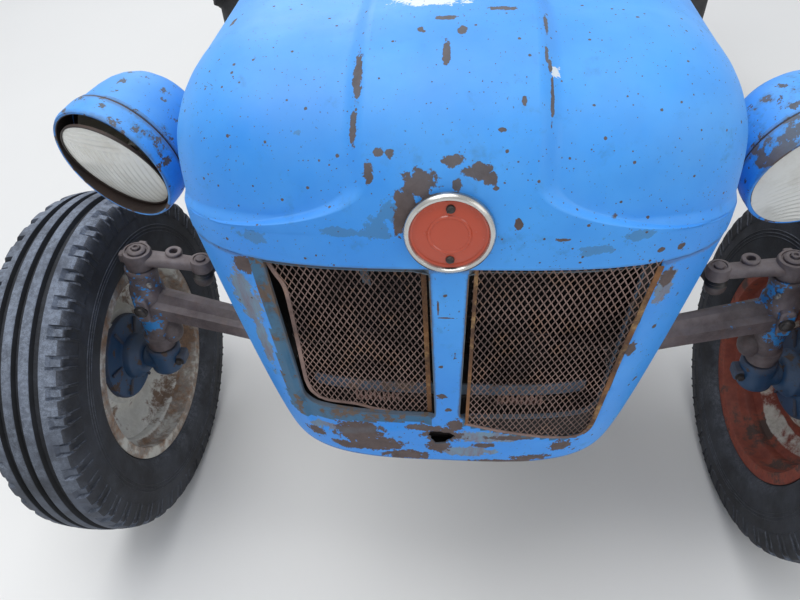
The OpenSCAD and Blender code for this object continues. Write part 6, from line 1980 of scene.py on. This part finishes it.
onRearWheel("rearTyreLugs", [(ring(rearBody, 120), rearRubber), (merged(rearLugs), rearRubber),
    (merged(rearRings), rearRubber)], "rear_tyre", 34)
rearNuts = boltCircle((0, 0, -40), toTop, 92, 8, 24, 10)
rimLugs = merged([place(softBlock((284, -24, 8), (342, 24, 14), 8, "Z", 2), turn=turned("Z", 45 * k))
    for k in range(8)])
rimLugBolts = boltCircle((0, 0, 14), toTop, 308, 8, 20)
axleEnd = lathe([(0, -46), (52, -46), (54, -42), (54, 4), (50, 10), (30, 14), (28, 18), (0, 19)], 48)
axleInner = lathe([(0, -122), (28, -122), (28, -52), (0, -52)], 36)
rearValve = drumAt([(0, 0), (6, 0), (5, 6), (4.2, 10), (4.2, 42), (0, 44)], (300, 130, 6),
    (-0.55, -0.25, 0.8), 14)
onRearWheel("rearRimDisc",
    [(rimRing(rearRimOut, rearRimIn, 120), rearRim), (dishedDisc(rearDisc, 9, 120), rearRim),
    (rearNuts, screwMetal), (rimLugs, rearRim), (rimLugBolts, screwMetal), (axleEnd, casting),
    (axleInner, bareSteel), (rearValve, blackTrim)], "rear_rim", 40)
print("rear wheels ready")

# linkage: collars on the eyes, a levelling screw on the lift rods, pins with rings
eyeCollars = [drumAt([(15, 14), (22, 14.2), (23.5, 16), (23.5, 17.5), (15, 18)], at, toLeft, 32)
    for at in ((210, 1885, 405), (355, 2653.1, 351.3))]
linchPin = ring([(7, -1.4), (9.8, -1.4), (9.8, 1.4), (7, 1.4)], 24)
linkPins = [place(linchPin, (373, 2653.1, 345), aimed((0, 1, 0.2)))]
sidePiece("lowerLinkCollars", coated(bareSteel, eyeCollars + linkPins), "lower_link", body="lower_link")
rodTop, rodFoot = Vector((230, 2115.1, 833.2)), Vector((247.6, 2253.7, 379.2))
rodAlong = rodFoot - rodTop
rodParts = [drumAt([(10, 0), (17, 2), (18, 8), (18, 66), (15, 72), (10, 74)], rodTop + rodAlong * 0.3,
    rodAlong, 28), drumAt([(10, 0), (14, 1), (14, 15), (10, 16)], rodTop + rodAlong * 0.62, rodAlong, 6),
    drumAt([(10, 0), (13, 1), (13, 9), (10, 10)], rodTop + rodAlong * 0.8, rodAlong, 28)]
rodParts.append(merged([rod(rodTop + rodAlong * 0.36, rodTop + rodAlong * 0.36 + Vector((0, 62, 20)), 5,
    12), ball(rodTop + rodAlong * 0.36 + Vector((0, 66, 21)), 9, 12)]))
for side in ("left", "right"):
    kept = rodParts if side == "right" else rodParts[:3]
    shapes = [(s if side == "left" else mirrored(s), casting) for s in kept]
    machine(f"liftRodScrew_{side}", shapes, f"lift_rod_{side}")
liftHubs = [drumAt([(25, 12), (34, 12.5), (36, 15), (36, 19), (30, 21), (0, 21)], (205, 1895, 880), toLeft,
    36), bolt((226, 1895, 880), toLeft, 22)]
machine("liftArmCaps", bothOf([(s, darkBlue if k == 0 else screwMetal) for k, s in enumerate(liftHubs)]),
    "lift_arms")
hitch = [(drumAt([(13.2, 0), (24, 0), (25, 1.5), (25, 3), (13.2, 3)], (0, 2285, 355), toTop, 32),
    bareSteel), (boltsAt([(s * 50, rearAxle[0] + y, 400) for s in bothWays for y in (-35, 35)], toTop, 19),
    screwMetal)]
machine("drawbarFittings", hitch)
dragParts = [drumAt([(11, 0), (15, 1), (15, 27), (11, 28)],
    lerpPoint((474.4, 0.3, 649.3), (213.3, 794, 698), t), (-261, 794, 49), 6) for t in (0.06, 0.88)]
sidePiece("dragLinkClamps", coated(screwMetal, dragParts), "drag_link", body="drag_link")
print("linkage ready")


# floor, light and camera
floorMesh = bpy.data.meshes.new("floor")
floorHalf = 90
floorMesh.from_pydata([(x * floorHalf, y * floorHalf, 0) for x, y in ((-1, -1), (1, -1), (1, 1), (-1, 1))],
    [], [(0, 1, 2, 3)])
floor = bpy.data.objects.new("studioFloor", floorMesh)
bpy.context.scene.collection.objects.link(floor)
floorMaterial, g, shader, where = newMaterial("paleFloor")
g.put(shader, "Base Color", g.mix(g.noise(where, 0.8, 3.0), rgb(0.78, 0.78, 0.77), rgb(0.84, 0.84, 0.83)))
g.put(shader, "Roughness", g.plus(g.times(g.noise(where, 5.0, 3.0), 0.1), 0.8))
backdropColour = rgb(0.76, 0.77, 0.78)


def looking(graph):
    # 1 for the rays that only look: straight, by a mirror or through glass
    seen = graph.add("LightPath").outputs
    return graph.most(graph.most(seen["Is Camera Ray"], seen["Is Glossy Ray"]),
        seen["Is Transmission Ray"])


far = g.step(g.vector("LENGTH", where), 3.5, 9.0)
glow = g.add("Emission", Color=backdropColour)
share = g.times(far, looking(g))
floorMix = g.add("MixShader")
for socket, value in enumerate((share, shader.outputs[0], glow.outputs[0])):
    g.put(floorMix, socket, value)
g.put(floorMaterial.node_tree.nodes["Material Output"], "Surface", floorMix.outputs[0])
floorMesh.materials.append(floorMaterial)

world = bpy.data.worlds.new("studio")
world.use_nodes = True
bpy.context.scene.world = world
sky = Graph(world.node_tree)
background = world.node_tree.nodes["Background"]
sky.put(background, "Color", rgb(0.84, 0.87, 0.92))
sky.put(background, "Strength", 0.7)
backdrop = sky.add("Background", Color=backdropColour)
choose = sky.add("MixShader")
for socket, value in enumerate((looking(sky), background.outputs[0], backdrop.outputs[0])):
    sky.put(choose, socket, value)
sky.put(world.node_tree.nodes["World Output"], "Surface", choose.outputs[0])


def softLight(name, at, aim, size, power, colour=(1, 1, 1)):
    data = bpy.data.lights.new(name, "AREA")
    data.shape, data.size, data.energy, data.color = "SQUARE", size, power, colour
    light = bpy.data.objects.new(name, data)
    light.location = at
    light.rotation_euler = (Vector(aim) - Vector(at)).to_track_quat("-Z", "Y").to_euler()
    bpy.context.scene.collection.objects.link(light)


softLight("skyLight", (-0.8, frontY - 0.1, 4.4), (0, frontY + 0.1, 0.8), 3.0, 98)
softLight("sideLight", (3.6, frontY - 2.2, 3.0), (0, frontY + 0.3, 0.7), 2.5, 28, (1, 0.98, 0.95))
softLight("rearLight", (-1.8, rearY + 2.8, 3.8), (0, rearY, 0.7), 2.6, 60)

shot = {"at": (0.0048, frontY - 0.8668, 1.3947), "yaw": -6.716, "pitch": 44.0, "roll": 3.61,
    "focal": 626.29, "wide": 800}
yaw, pitch, roll = (radians(shot[k]) for k in ("yaw", "pitch", "roll"))
ahead = Vector((sin(yaw) * cos(pitch), cos(yaw) * cos(pitch), -sin(pitch)))
right = Vector((cos(yaw), -sin(yaw), 0))
down = ahead.cross(right)
right, down = cos(roll) * right + sin(roll) * down, -sin(roll) * right + cos(roll) * down
cameraData = bpy.data.cameras.new("photoView")
cameraData.sensor_width = 36
cameraData.lens = 36 * shot["focal"] / shot["wide"]
camera = bpy.data.objects.new("photoView", cameraData)
bpy.context.scene.collection.objects.link(camera)
camera.matrix_world = Matrix.Translation(shot["at"]) @ Matrix((right, -down, -ahead)).transposed().to_4x4()
bpy.context.scene.camera = camera
bpy.context.scene.view_settings.view_transform = "Standard"
